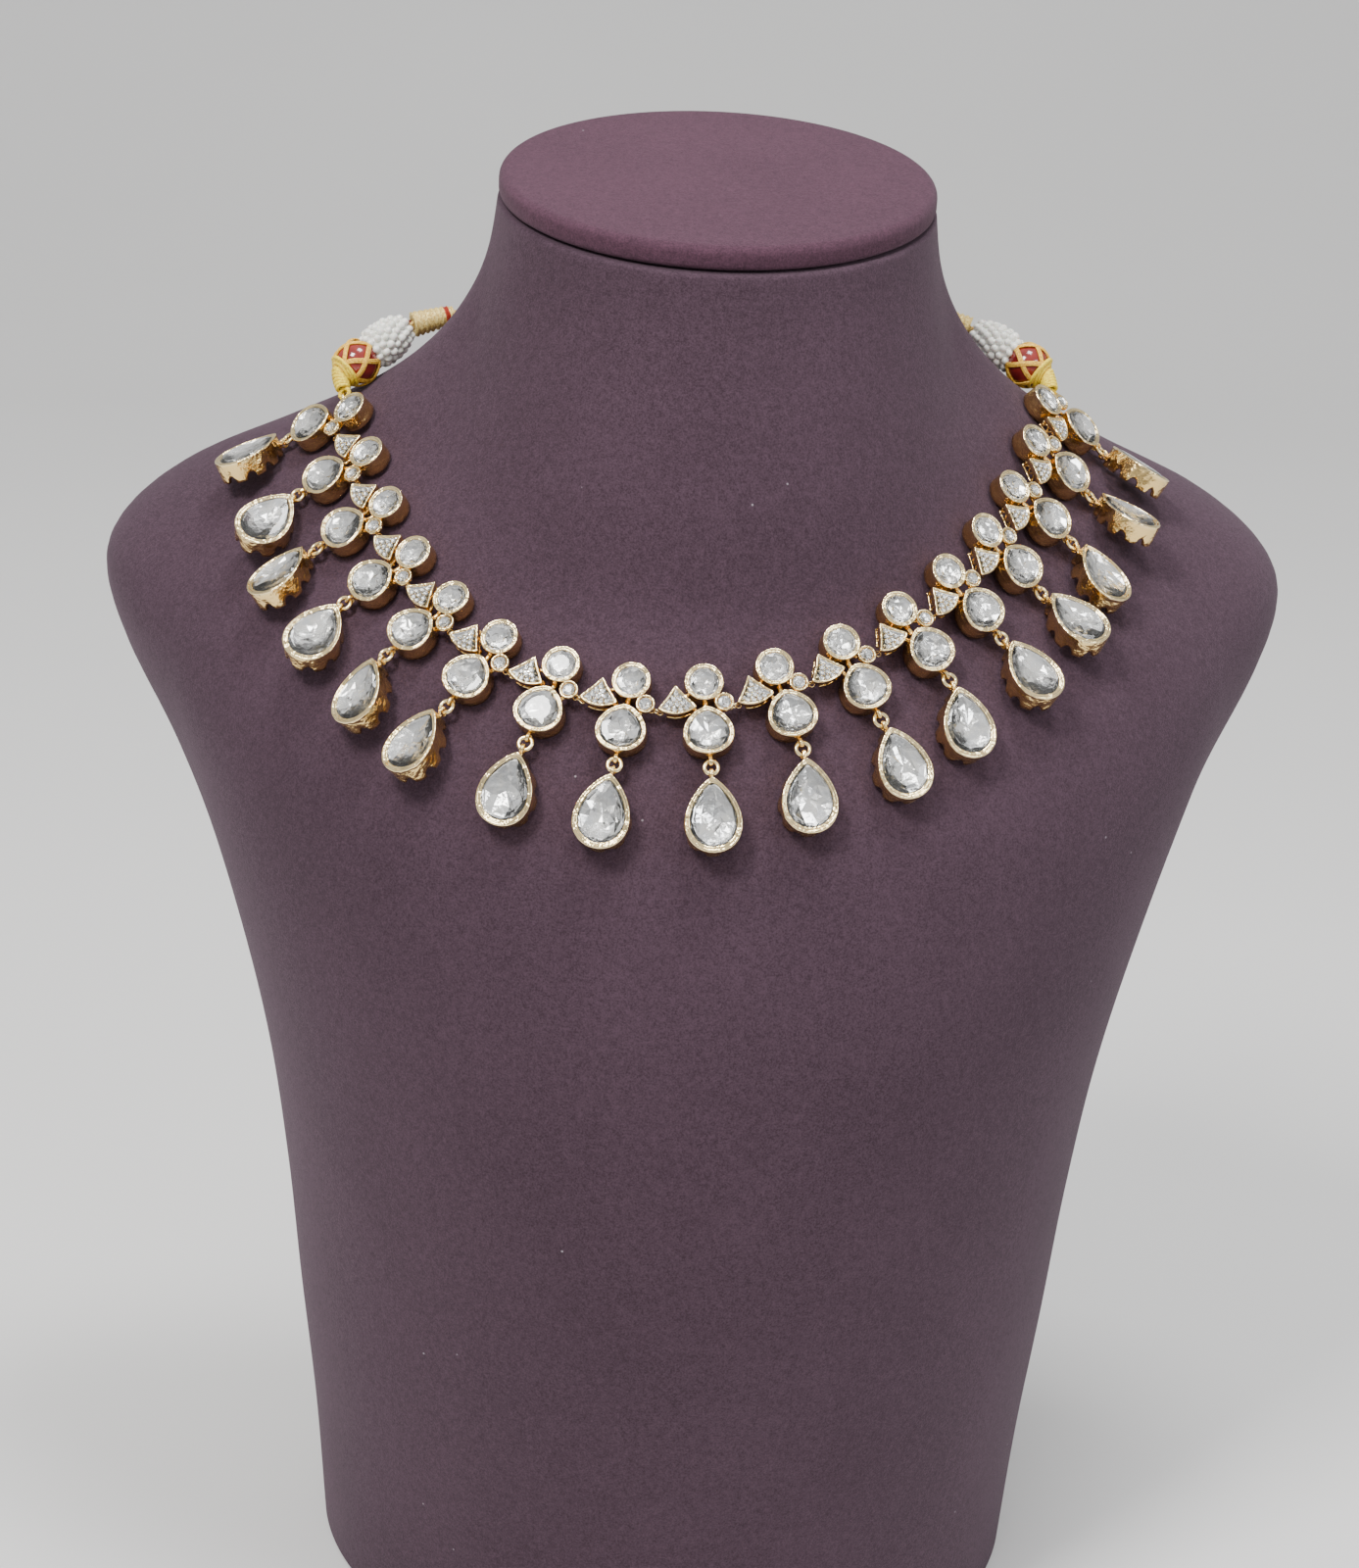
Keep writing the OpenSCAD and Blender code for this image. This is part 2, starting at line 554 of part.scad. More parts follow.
// The cord: one tube through both ends' pieces and round the back of the neck
function cord_side(side) = concat(
    [for (d = [-ball_d / 2 - tie_gap - tie_bore + 0.3, -ball_d / 4, ball_d / 4]) axis_at(side, d)[0]],
    [cone_joint(side), cone_at(side, 0)[0], cone_at(side, cone_long)[0], cone_at(side, cone_long + 1.5)[0]],
    [end_point(side, cone_end + 10)]
);
cord_left = cord_side(-1);
cord_right = cord_side(1);
back_from = end_angle(-1, cone_end + 15);
back_to = end_angle(1, cone_end + 15);
cord_back = [for (k = [0:18]) let (a = back_from - k / 18 * (360 + back_from - back_to))
    row_point(a < -180 ? a + 360 : a, cord_d / 2 + 0.6)];
cord_line = concat(cord_left, cord_back, [for (i = [len(cord_right) - 1:-1:0]) cord_right[i]]);
module neck_cord() {
    n = len(cord_line);
    ahead = [for (i = [0:n - 1]) unit(cord_line[min(i + 1, n - 1)] - cord_line[max(i - 1, 0)])];
    points = [for (i = [0:n - 1]) let (x = unit(cross(ahead[i], [0, 0, 1])), y = cross(x, ahead[i]))
        for (k = [0:7]) cord_line[i] + cord_d / 2 * (cos(k * 45) * x + sin(k * 45) * y)];
    sides = [for (i = [0:n - 2]) for (k = [0:7]) let (m = (k + 1) % 8)
        [8 * i + k, 8 * i + m, 8 * i + 8 + m, 8 * i + 8 + k]];
    color("gold") polyhedron(points, concat(
        [[for (k = [7:-1:0]) k]], sides, [[for (k = [0:7]) 8 * (n - 1) + k]]
    ));
}

// The bust: rings of skin from the base to the neck's top, which leans with the cap
ring_heights = concat(
    [for (k = [0:13]) neck_top * 0.68 * k / 13],
    [for (k = [1:24]) neck_top * (0.68 + 0.32 * k / 24)]
);
bust_sides = 56;
module bust_form() {
    n = len(ring_heights);
    m = bust_sides;
    points = [for (z = ring_heights) for (k = [0:m - 1]) skin(360 * k / m, z)];
    sides = [for (i = [0:n - 2]) for (k = [0:m - 1]) let (j = (k + 1) % m)
        [m * i + k, m * i + m + k, m * i + m + j, m * i + j]];
    color("purple") polyhedron(points, concat(
        [[for (k = [0:m - 1]) k]], sides, [[for (k = [m - 1:-1:0]) m * (n - 1) + k]]
    ));
}
module neck_cap() {
    r = skin_r(90, neck_top) + 0.2;
    color("purple") translate([0, 0, bust_height]) rotate([cap_lean, 0, 0]) translate([0, 0, -cap_thickness])
        rotate_extrude($fn = 96) polygon([
            [0, 0], [r - 0.6, 0], [r, 0.6], [r, cap_thickness - 1.6], [r - 0.45, cap_thickness - 0.5],
            [r - 1.5, cap_thickness], [0, cap_thickness]
        ]);
}

// Names of the numbered pieces
function two(i) = i < 10 ? str("0", i) : str(i);
function setting_name(i) = str("setting_", two(i));
function drop_name(i) = str("drop_", two(i));

module upper_stones() {
    w = upper_d - 2 * cup_wall;
    color("white") for (f = setting_frames) put(f) translate([0, upper_y, 0]) cup_stone(w, w, 0, upper_height, 12);
}
module lower_stones() {
    color("white") for (f = setting_frames) put(f) translate([0, lower_y, 0])
        cup_stone(lower_w - 2 * cup_wall, lower_h - 2 * cup_wall, 0.3, lower_height, 16);
}
module collet_stones() {
    w = collet_d - 2 * collet_wall;
    color("white") for (f = setting_frames) put(f) translate([collet_x, collet_y, 0])
        stone(egg(w - 2 * stone_gap, w - 2 * stone_gap, 0, 12), collet_height - 0.6, collet_height - 0.15, collet_height + 0.25);
}
module pear_stones() {
    color("white") for (f = drop_frames) put(f)
        cup_stone(drop_w - 2 * drop_wall, drop_h - 2.4 * drop_wall, 0.6, drop_height, 16);
}
module link_rings() {
    color("gold") for (i = [1:unit_count - 1]) link_ring(i);
}
module drop_rings() {
    color("gold") for (i = [1:unit_count]) drop_ring(i);
}
module left_end_ring() { color("gold") end_ring(-1); }
module left_tie() { color("yellow") tie(-1); }
module left_ball() { color("darkred") ball(-1); }
module left_barrel() { color("white") barrel(-1); }
module left_cone() { color("gold") cone(-1); }
module right_end_ring() { color("gold") end_ring(1); }
module right_tie() { color("yellow") tie(1); }
module right_ball() { color("darkred") ball(1); }
module right_barrel() { color("white") barrel(1); }
module right_cone() { color("gold") cone(1); }

bust_form();
neck_cap();
for (i = [1:unit_count]) {
    color("gold") put(setting_frames[i - 1]) setting(i);
    color("gold") put(drop_frames[i - 1]) drop();
}
upper_stones();
lower_stones();
collet_stones();
pear_stones();
link_rings();
drop_rings();
left_end_ring();
left_tie();
left_ball();
left_barrel();
left_cone();
right_end_ring();
right_tie();
right_ball();
right_barrel();
right_cone();
neck_cord();
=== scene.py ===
# %% [markdown]
# A collar of foil-backed stones on a display neck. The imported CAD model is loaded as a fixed
# frame, in metres. Each new piece is worked out as a surface in millimetres, in the small frame
# of its own setting or drop, and then carried to where the CAD has that part.

# %% Load the frame
import bpy
import numpy as np
from mathutils import Matrix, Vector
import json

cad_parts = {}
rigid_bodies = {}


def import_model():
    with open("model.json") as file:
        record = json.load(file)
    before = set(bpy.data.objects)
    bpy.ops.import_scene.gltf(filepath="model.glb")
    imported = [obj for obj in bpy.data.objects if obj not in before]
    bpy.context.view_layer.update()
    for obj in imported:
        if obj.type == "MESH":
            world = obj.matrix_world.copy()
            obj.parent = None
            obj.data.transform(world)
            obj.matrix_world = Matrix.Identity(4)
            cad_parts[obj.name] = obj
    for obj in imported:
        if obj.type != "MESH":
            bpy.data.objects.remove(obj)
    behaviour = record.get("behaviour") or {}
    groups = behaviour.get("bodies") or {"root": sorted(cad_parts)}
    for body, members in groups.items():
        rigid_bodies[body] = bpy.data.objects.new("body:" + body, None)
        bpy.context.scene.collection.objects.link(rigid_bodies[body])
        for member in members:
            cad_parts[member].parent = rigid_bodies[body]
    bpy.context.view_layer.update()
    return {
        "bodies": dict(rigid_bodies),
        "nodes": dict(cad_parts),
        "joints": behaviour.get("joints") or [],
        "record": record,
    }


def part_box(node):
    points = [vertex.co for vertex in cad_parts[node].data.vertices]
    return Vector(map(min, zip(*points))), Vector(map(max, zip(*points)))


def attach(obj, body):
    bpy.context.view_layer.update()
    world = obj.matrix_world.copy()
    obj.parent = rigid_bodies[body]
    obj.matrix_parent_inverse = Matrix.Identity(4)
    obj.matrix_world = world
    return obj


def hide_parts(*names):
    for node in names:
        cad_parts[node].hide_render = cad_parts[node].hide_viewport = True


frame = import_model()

nodes = frame["nodes"]
MM = 0.001

# %% Objects and their places
def unit(v):
    """Rows scaled to length one."""
    return v / np.linalg.norm(v, axis=-1, keepdims=True)


def linked(name, data):
    """A new object in the scene that carries a mesh, a camera or a lamp."""
    thing = bpy.data.objects.new(name, data)
    bpy.context.scene.collection.objects.link(thing)
    return thing


def pose_of(x, y, z, at):
    """The matrix whose columns are three axes and a place."""
    return Matrix([[x[i], y[i], z[i], at[i]] for i in range(3)] + [[0, 0, 0, 1]])


# %% [markdown]
# Camera. The photograph looks a little down on the necklace from straight in front, slightly from
# the left, with a long lens. Three turns give the view: yaw round the upright, pitch down, and a
# small roll of the camera. One point of the chest, and the pixel where it is seen, give the
# camera's place. The picture is taller than wide, so the sensor's 36 mm lie along its height.

# %% Camera
picture_w, picture_h, sensor_mm = 1387, 1600, 36
lens_px, aim_distance = 3540.0, 657.5
aim, aim_px = np.array([-2.5, -74, 217]), (722, 694)
yaw, pitch, roll = np.radians([-3.23, 18.0, 2.4])
ahead = np.array([-np.sin(yaw) * np.cos(pitch), np.cos(yaw) * np.cos(pitch), -np.sin(pitch)])
level = np.array([np.cos(yaw), np.sin(yaw), 0])
lift = np.cross(level, ahead)
right = np.cos(roll) * level + np.sin(roll) * lift
upward = -np.sin(roll) * level + np.cos(roll) * lift
ray = lens_px * ahead + (aim_px[0] - picture_w / 2) * right + (picture_h / 2 - aim_px[1]) * upward
camera_at = aim - aim_distance * unit(ray)
camera = linked("studio_camera", bpy.data.cameras.new("studio_camera"))
camera.data.lens = lens_px / picture_h * sensor_mm
camera.data.clip_start = 0.02
camera.matrix_world = pose_of(right, upward, -ahead, camera_at * MM)
bpy.context.scene.camera = camera
print("camera at", camera_at.round(1), "mm, lens", round(camera.data.lens, 2))

# %% [markdown]
# Surfaces. Every shape below is a grid of points: rows along a profile or a path, columns round
# it. A part is a set of points, faces of three or four corners, a material number, smooth or flat
# shading, and a tone from 0 to 1 that the materials read: on gold it paints a highlight on the rims
# and shade on the deeper walls; on thread it picks a second colour, and on foil it is a random tone.

# %% A part and a grid of points
def part(points, faces, smooth=True, tone=0.0):
    """Points and faces turned outwards: a closed shape whose signed volume is negative has its
    faces reversed."""
    points = np.asarray(points, float)
    faces = np.asarray(faces, int)
    a, b, c = points[faces[:, 0]], points[faces[:, 1]], points[faces[:, 2]]
    volume = np.einsum("ij,ij->i", a, np.cross(b, c)).sum()
    four = faces[:, 3] >= 0
    d = points[faces[four, 3]]
    volume += np.einsum("ij,ij->i", a[four], np.cross(c[four], d)).sum()
    if volume < 0:
        flipped = faces[:, [2, 1, 0, 3]].copy()
        flipped[four] = faces[four][:, [3, 2, 1, 0]]
        faces = flipped
    tone = np.broadcast_to(np.asarray(tone, float), len(points))
    return [points, faces, np.zeros(len(faces), int), np.full(len(faces), smooth), tone]


def sheet(grid, tone=0.0, first_pole=False, last_pole=False, ring=False, paint_from=None):
    """Quads between the rows of a grid whose columns close; a pole adds one middle point to an end
    row, and ring joins the last row to the first. Rows from paint_from on take the second
    material."""
    rows, cols = grid.shape[:2]
    i, j = np.meshgrid(np.arange(rows if ring else rows - 1), np.arange(cols), indexing="ij")
    i, j = i.ravel(), j.ravel()
    i2, j2 = (i + 1) % rows, (j + 1) % cols
    faces = [np.stack([i * cols + j, i * cols + j2, i2 * cols + j2, i2 * cols + j], 1)]
    points = [grid.reshape(-1, 3)]
    row_tone = np.reshape(tone, (-1, 1)) if np.ndim(tone) == 1 else tone
    tones = [np.broadcast_to(row_tone, (rows, cols)).ravel()]
    k, at_row = np.arange(cols), [i]
    for wanted, row in ((first_pole, 0), (last_pole, rows - 1)):
        if wanted:
            at_row.append(0 * k + row)
            middle = rows * cols + len(points) - 1
            points.append(grid[row].mean(0, keepdims=True))
            tones.append(tones[0].reshape(rows, cols)[row, :1])
            cap = np.stack([row * cols + k, row * cols + (k + 1) % cols, 0 * k + middle, 0 * k - 1], 1)
            faces.append(cap[:, [1, 0, 2, 3]] if row == 0 else cap)
    made = part(np.concatenate(points), np.concatenate(faces), tone=np.concatenate(tones))
    if paint_from is not None:
        made[2] = np.where(np.concatenate(at_row) >= paint_from, 1, 0)
    return made


def joined(parts):
    """One part from several: the point numbers of each follow on from the one before."""
    starts = np.cumsum([0] + [len(p[0]) for p in parts[:-1]])
    faces = [np.where(p[1] < 0, -1, p[1] + s) for p, s in zip(parts, starts)]
    return [np.concatenate([p[0] for p in parts]), np.concatenate(faces)] + [
        np.concatenate([p[k] for p in parts]) for k in (2, 3, 4)]


def moved(piece, turn, shift):
    """The part with each point, as a row, multiplied by a turn and shifted."""
    return [piece[0] @ turn + shift] + piece[1:]


def shifted(piece, shift):
    """The part moved without a turn."""
    return [piece[0] + np.asarray(shift, float)] + piece[1:]


# %% A part becomes an object
def make(name, piece, materials, stands_for=(), body="root"):
    """Writes the arrays into a mesh in metres, with the tone as a point attribute, and ties it to
    the frame."""
    points, faces, paint, smooth, tone = piece
    sides = (faces >= 0).sum(1)
    mesh = bpy.data.meshes.new(name)
    mesh.vertices.add(len(points))
    mesh.vertices.foreach_set("co", (points * MM).astype(np.float32).ravel())
    mesh.loops.add(int(sides.sum()))
    mesh.loops.foreach_set("vertex_index", faces[faces >= 0].astype(np.int32))
    mesh.polygons.add(len(faces))
    first_corner = np.concatenate([[0], np.cumsum(sides)[:-1]])
    mesh.polygons.foreach_set("loop_start", first_corner.astype(np.int32))
    mesh.polygons.foreach_set("material_index", paint.astype(np.int32))
    mesh.polygons.foreach_set("use_smooth", smooth.astype(bool))
    mesh.attributes.new("tone", "FLOAT", "POINT").data.foreach_set("value", tone.astype(np.float32))
    mesh.update(calc_edges=True)
    mesh.validate()
    for material in materials:
        mesh.materials.append(material)
    thing = linked(name, mesh)
    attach(thing, body)
    if stands_for:
        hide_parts(*stands_for)
    return thing


# %% Round sections carried along a path
def around(count):
    """That many angles, evenly once round."""
    return np.arange(count) * 2 * np.pi / count


def lengths(path):
    """Length along the path up to each of its points."""
    return np.concatenate([[0], np.cumsum(np.linalg.norm(np.diff(path, axis=0), axis=1))])


def square_to(path, up, closed):
    """Two directions across the path at each point: sideways, square to the path and to up, and
    the one left."""
    along = unit(np.roll(path, -1, 0) - np.roll(path, 1, 0) if closed else np.gradient(path, axis=0))
    side = unit(np.cross(along, np.broadcast_to(np.asarray(up, float), path.shape)))
    return side, np.cross(side, along)


def tube(path, radius, sides=8, up=(0, 0, 1), closed=False, flat=1.0, tone=0.0):
    """A round or flattened section on each path point, square to the path; up chooses where the
    section starts."""
    path = np.asarray(path, float)
    side, rise = square_to(path, up, closed)
    a = around(sides)[None, :, None]
    radius = np.broadcast_to(radius, len(path))[:, None, None]
    grid = path[:, None] + radius * (np.cos(a) * side[:, None] + flat * np.sin(a) * rise[:, None])
    return sheet(grid, tone, not closed, not closed, closed)


def hoop(middle, axis, r, thick, flat=1.0, steps=28, sides=8, tone=0.0):
    """A closed ring about an axis: the path is a circle and the section an ellipse."""
    axis = unit(np.asarray(axis, float))
    x = unit(np.cross(axis, [0.3, 0.5, 0.8]))
    y = np.cross(axis, x)
    a = around(steps)[:, None]
    path = np.asarray(middle, float) + r * (np.cos(a) * x + np.sin(a) * y)
    return tube(path, thick, sides, axis, True, flat, tone)


def rope(path, radius, strands, pitch, up=(0, 0, 1), closed=False, tones=None):
    """Twisted strands: each follows the path on a helix whose turn grows with the length along the
    path. Strands of the touching radius are made an eighth thicker, as soft thread presses
    together."""
    path = np.asarray(path, float)
    length = lengths(np.concatenate([path, path[:1]]) if closed else path)
    if closed:
        length = length[:-1] / length[-1] * pitch * round(length[-1] / pitch)
    side, rise = square_to(path, up, closed)
    thick = radius * np.sin(np.pi / strands) / (1 + np.sin(np.pi / strands))
    out = []
    for k in range(strands):
        a = (length / pitch + k / strands)[:, None] * 2 * np.pi
        middle = path + (radius - thick) * (np.cos(a) * side + np.sin(a) * rise)
        out.append(tube(middle, thick * 1.12, 6, up, closed, tone=0 if tones is None else tones[k]))
    return joined(out)


def through(points, spacing):
    """A smooth path through given points: cubic pieces whose slopes come from the neighbours,
    evenly respaced."""
    p = np.asarray(points, float)
    slope = np.gradient(p, axis=0)
    t = np.linspace(0, 1, 13)[:-1, None, None]
    a, b, ma, mb = p[None, :-1], p[None, 1:], slope[None, :-1], slope[None, 1:]
    fine = ((1 + 2 * t) * (1 - t) ** 2 * a + t * t * (3 - 2 * t) * b
            + t * (1 - t) ** 2 * ma - t * t * (1 - t) * mb)
    fine = np.concatenate([fine.transpose(1, 0, 2).reshape(-1, 3), p[-1:]])
    length = lengths(fine)
    even = np.linspace(0, length[-1], max(3, int(length[-1] / spacing) + 1))
    return np.stack([np.interp(even, length, fine[:, k]) for k in range(3)], 1)


def spun(section, steps):
    """The grid of a profile of radius and height turned about an upright axis."""
    a, section = around(steps), np.asarray(section, float)
    return np.stack([section[:, :1] * np.cos(a), section[:, :1] * np.sin(a),
                     np.repeat(section[:, 1:], steps, 1)], -1)


# %% [markdown]
# Finding the CAD parts. A node that holds several loose solids is split by its faces, and the
# solids are put in order round the neck. Where a stone's own shape is known, the turn that lays
# it on the CAD's stone gives the whole frame of its setting, so nothing has to be fitted by eye.

# %% Split a node into its loose solids
def solids(name):
    """Corners at one place become one point, then the lowest point number spreads over the faces
    until it rests."""
    mesh = nodes[name].data
    raw = np.empty(len(mesh.vertices) * 3, np.float32)
    mesh.vertices.foreach_get("co", raw)
    corner = np.empty(len(mesh.loops), np.int32)
    mesh.loops.foreach_get("vertex_index", corner)
    points, index = np.unique((raw.reshape(-1, 3) / MM).round(2), axis=0, return_inverse=True)
    faces = index.ravel()[corner].reshape(-1, 3)
    label = np.arange(len(points))
    while True:
        low = label[faces].min(1)
        new = label.copy()
        np.minimum.at(new, faces.ravel(), np.repeat(low, 3))
        if (new == label).all():
            break
        label = new
    found = [points[label == k] for k in np.unique(label)]
    return sorted(found, key=lambda q: np.arctan2(q[:, 0].mean(), -q[:, 1].mean())), points, faces


def laid_on(local, world):
    """The turn and shift that carry local rows onto world rows: centres first, then the best turn
    from the singular vectors of their products."""
    a, b = local.mean(0), world.mean(0)
    u, _, v = np.linalg.svd((local - a).T @ (world - b))
    turn = u @ np.diag([1, 1, np.sign(np.linalg.det(u @ v))]) @ v
    return turn, b - a @ turn


def laid_by_shape(local, world):
    """As laid_on for points in no known order: tries the four ways of laying main directions on
    each other, pairs nearest points, and keeps the closest."""
    a, b = local - local.mean(0), world - world.mean(0)
    la, lb = np.linalg.eigh(a.T @ a)[1], np.linalg.eigh(b.T @ b)[1]
    la = la * [1, 1, np.sign(np.linalg.det(la))]
    best = None
    for sx, sy in ((1, 1), (1, -1), (-1, 1), (-1, -1)):
        other = lb * [sx, sy, 1]
        other = other * [1, 1, np.sign(np.linalg.det(other))]
        turn = la @ other.T
        for _ in range(4):
            near = ((a @ turn)[:, None] - b[None]) ** 2
            pick = near.sum(2).argmin(1)
            turn = laid_on(a, b[pick])[0]
        miss = np.abs(a @ turn - b[pick]).max()
        if best is None or miss < best[0]:
            best = (miss, turn, world[pick])
    turn, shift = laid_on(local, best[2])
    return turn, shift, best[0]


# %% Outlines and stones as the CAD has them
def egg(w, h, blunt, steps):
    """Closed outline of width w and length h: an ellipse whose width is multiplied by the half-
    angle's sine to a power, which draws its upper end to a tip."""
    every = np.radians(np.arange(1, 180))
    top = (np.sin(every) * np.sin(every / 2) ** blunt).max()
    t = (np.arange(steps) + 0.5) * 2 * np.pi / steps
    return np.stack([-w / 2 * np.sin(t) * np.abs(np.sin(t / 2)) ** blunt / top, h / 2 * np.cos(t)], 1)

# %% Sizes of the cups and their stones
# Widths, lengths and rim heights of the cups, the tips of the two egg shapes, wall thicknesses,
# and where the three stones of a setting sit in its own frame
upper_w, lower_w, lower_h, drop_w, drop_h = 7.5, 9.8, 9.6, 11.0, 14.6
upper_high, lower_high, drop_high, collet_high = 3.8, 4.0, 4.6, 3.4
lower_blunt, drop_blunt = 0.3, 0.6
cup_wall, drop_wall, drop_pull, stone_gap = 0.65, 0.8, 1.2, 0.14
upper_at, lower_at = np.array([0, 4.95, 0]), np.array([0, -4.95, 0])
collet_at = np.array([3.55, 0.75, 0])
# A stone's foot and girdle below the rim, its table above the rim, and the table's share of the
# outline
foot_down, girdle_down, table_up, table_share = 1.36, 0.35, 0.25, 0.62


def stone_size(w, h, wall, pull=1.0):
    """Width and length of the stone in a cup: the inside less a gap all round. A pull above 1
    takes more off the length, as the wall at an egg's tip is thicker."""
    return w - 2 * wall - 2 * stone_gap, h - 2 * wall * pull - 2 * stone_gap


def cad_stone(w, h, blunt, high, steps):
    """Corners of the CAD's stone: two rings on the outline and a table of half as many corners."""
    line = egg(w, h, blunt, steps)
    table = (line[0::2] + line[1::2]) / 2 * table_share
    rings = [(line, high - foot_down), (line, high - girdle_down), (table, high + table_up)]
    return np.concatenate([np.column_stack([p, np.full(len(p), z)]) for p, z in rings])


def mid_of_round(foot, girdle, table):
    """Middle of a round stone's corners: foot and girdle have twelve each and the table six."""
    return [0, 0, (12 * foot + 12 * girdle + 6 * table) / 30]


# %% Frames of the settings and the drops
uppers, lowers, collets = (solids(n)[0] for n in ("upper_stones", "lower_stones", "collet_stones"))
own = np.array([
    upper_at + mid_of_round(upper_high - foot_down, upper_high - girdle_down, upper_high + table_up),
    lower_at + cad_stone(*stone_size(lower_w, lower_h, cup_wall), lower_blunt, lower_high, 16).mean(0),
    collet_at + mid_of_round(collet_high - 0.6, collet_high - 0.15, collet_high + 0.25)])
seats, misses = [], []
for stones in zip(uppers, lowers, collets):
    there = np.array([q.mean(0) for q in stones])
    turn, shift = laid_on(own, there)
    seats.append((turn, shift))
    misses.append(np.abs(own @ turn + shift - there).max())
pear = cad_stone(*stone_size(drop_w, drop_h, drop_wall, drop_pull), drop_blunt, drop_high, 16)
hangs = [laid_by_shape(pear, q) for q in solids("pear_stones")[0]]
print(len(seats), "settings found within", round(max(misses), 3), "mm;", len(hangs), "drops within",
      round(max(h[2] for h in hangs), 3), "mm")

# %% [markdown]
# The neck cord comes before the other pieces. The real one is a soft twisted cord of three
# strands. Its route is read from the CAD's own cord: the rings of corners along that tube follow
# each other through its faces, and their middles are the line.
# Three strands are then wound round the line.

# %% The cord's line from the CAD
_, cord_points, cord_faces = solids("neck_cord")
low, high = (np.array(c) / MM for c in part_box("left_end_ring"))
start = np.linalg.norm(cord_points - (low + high) / 2, axis=1).argmin()
first_ring_mm = 1.85
reached = np.linalg.norm(cord_points - cord_points[start], axis=1) < first_ring_mm
cord_line = [cord_points[reached].mean(0)]
while not reached.all():
    near = reached[cord_faces].any(1)
    ring = np.zeros(len(cord_points), bool)
    ring[cord_faces[near].ravel()] = True
    ring &= ~reached
    if not ring.any():
        break
    cord_line.append(cord_points[ring].mean(0))
    reached |= ring
cord_line = np.array(cord_line)
cord_path = through(cord_line, 0.6)

# %% [markdown]
# Materials. Three effects are shared, so each is a node group with its own values per material:
# the soft nap of suede, metal with a painted highlight on its rims and painted shade on its walls,
# and the lie of twisted thread. A group puts out colours, values and heights only. The shader and
# its fixed numbers stay in each material.

# %% Small helpers for nodes
def wire(tree, kind, inputs=(), **settings):
    """Adds a node, sets its properties, and fills or links its inputs by name or number."""
    node = tree.nodes.new(kind)
    for key, value in settings.items():
        setattr(node, key, value)
    for key, value in dict(inputs).items():
        if isinstance(value, bpy.types.NodeSocket):
            tree.links.new(value, node.inputs[key])
        else:
            node.inputs[key].default_value = value
    return node


def blended(tree, share, a, b):
    """A colour mix: share runs from a to b."""
    return wire(tree, "ShaderNodeMix", {0: share, 6: a, 7: b}, data_type="RGBA").outputs[2]


def spread(tree, value, low, high, to_low=0.0, to_high=1.0):
    """A value carried from one range to another and held inside it."""
    node = wire(tree, "ShaderNodeMapRange", {0: value, 1: low, 2: high, 3: to_low, 4: to_high})
    return node.outputs[0]


def sums(tree, kind, a, b):
    """One arithmetic node."""
    return wire(tree, "ShaderNodeMath", {0: a, 1: b}, operation=kind).outputs[0]


def own_place(tree):
    """The point's place on its own object."""
    return wire(tree, "ShaderNodeTexCoord").outputs["Object"]


def noise(tree, at, scale, detail, rough=0.5):
    """Soft random values; the scale counts features to the metre."""
    return wire(tree, "ShaderNodeTexNoise", {
        "Vector": at, "Scale": scale, "Detail": detail, "Roughness": rough}).outputs[0]


def group(name, wanted):
    """A node group with named inputs, each a colour or a number, that gives a colour, a roughness
    and a height."""
    tree = bpy.data.node_groups.new(name, "ShaderNodeTree")
    for label, value in wanted.items():
        kind = "NodeSocketColor" if isinstance(value, tuple) else "NodeSocketFloat"
        tree.interface.new_socket(label, in_out="INPUT", socket_type=kind).default_value = value
    tree.interface.new_socket("Colour", in_out="OUTPUT", socket_type="NodeSocketColor")
    tree.interface.new_socket("Roughness", in_out="OUTPUT", socket_type="NodeSocketFloat")
    tree.interface.new_socket("Height", in_out="OUTPUT", socket_type="NodeSocketFloat")
    return tree, tree.nodes.new("NodeGroupInput").outputs, tree.nodes.new("NodeGroupOutput").inputs


def blank(name, sockets):
    """A new material with fixed numbers on its shader's sockets, its tree of nodes and its
    shader."""
    material = bpy.data.materials.new(name)
    material.use_nodes = True
    shader = material.node_tree.nodes["Principled BSDF"]
    for key, value in sockets.items():
        shader.inputs[key.replace("_", " ")].default_value = value
    return material, material.node_tree, shader


def finish_of(name, effect, values, bump, reach, **sockets):
    """A material that places one effect group with its own values and feeds colour, roughness and
    bump from it."""
    material, tree, shader = blank(name, sockets)
    placed = wire(tree, "ShaderNodeGroup", node_tree=effect)
    for key, value in values.items():
        placed.inputs[key].default_value = value
    tree.links.new(placed.outputs["Colour"], shader.inputs["Base Color"])
    tree.links.new(placed.outputs["Roughness"], shader.inputs["Roughness"])
    relief = wire(tree, "ShaderNodeBump", {
        "Strength": bump, "Distance": reach, "Height": placed.outputs["Height"]})
    tree.links.new(relief.outputs[0], shader.inputs["Normal"])
    return material


# %% The nap of suede
nap, given, out = group("suede_nap", {
    "Deep": (0.05, 0.03, 0.04, 1), "Brushed": (0.1, 0.06, 0.08, 1), "Lint": (0.5, 0.45, 0.5, 1),
    "Fibre scale": 2500.0})
place = own_place(nap)
cloud = noise(nap, place, 26.0, 4.0, 0.6)
fibre = noise(nap, place, given["Fibre scale"], 3.0, 0.7)
brush = noise(nap, place, 760.0, 5.0, 0.7)
speck = wire(nap, "ShaderNodeTexVoronoi", {"Vector": place, "Scale": 150.0, "Randomness": 1.0})
mix = sums(nap, "ADD", sums(nap, "MULTIPLY", fibre, 0.65), sums(nap, "MULTIPLY", brush, 0.35))
mix = sums(nap, "ADD", sums(nap, "MULTIPLY", mix, 0.88), sums(nap, "MULTIPLY", cloud, 0.12))
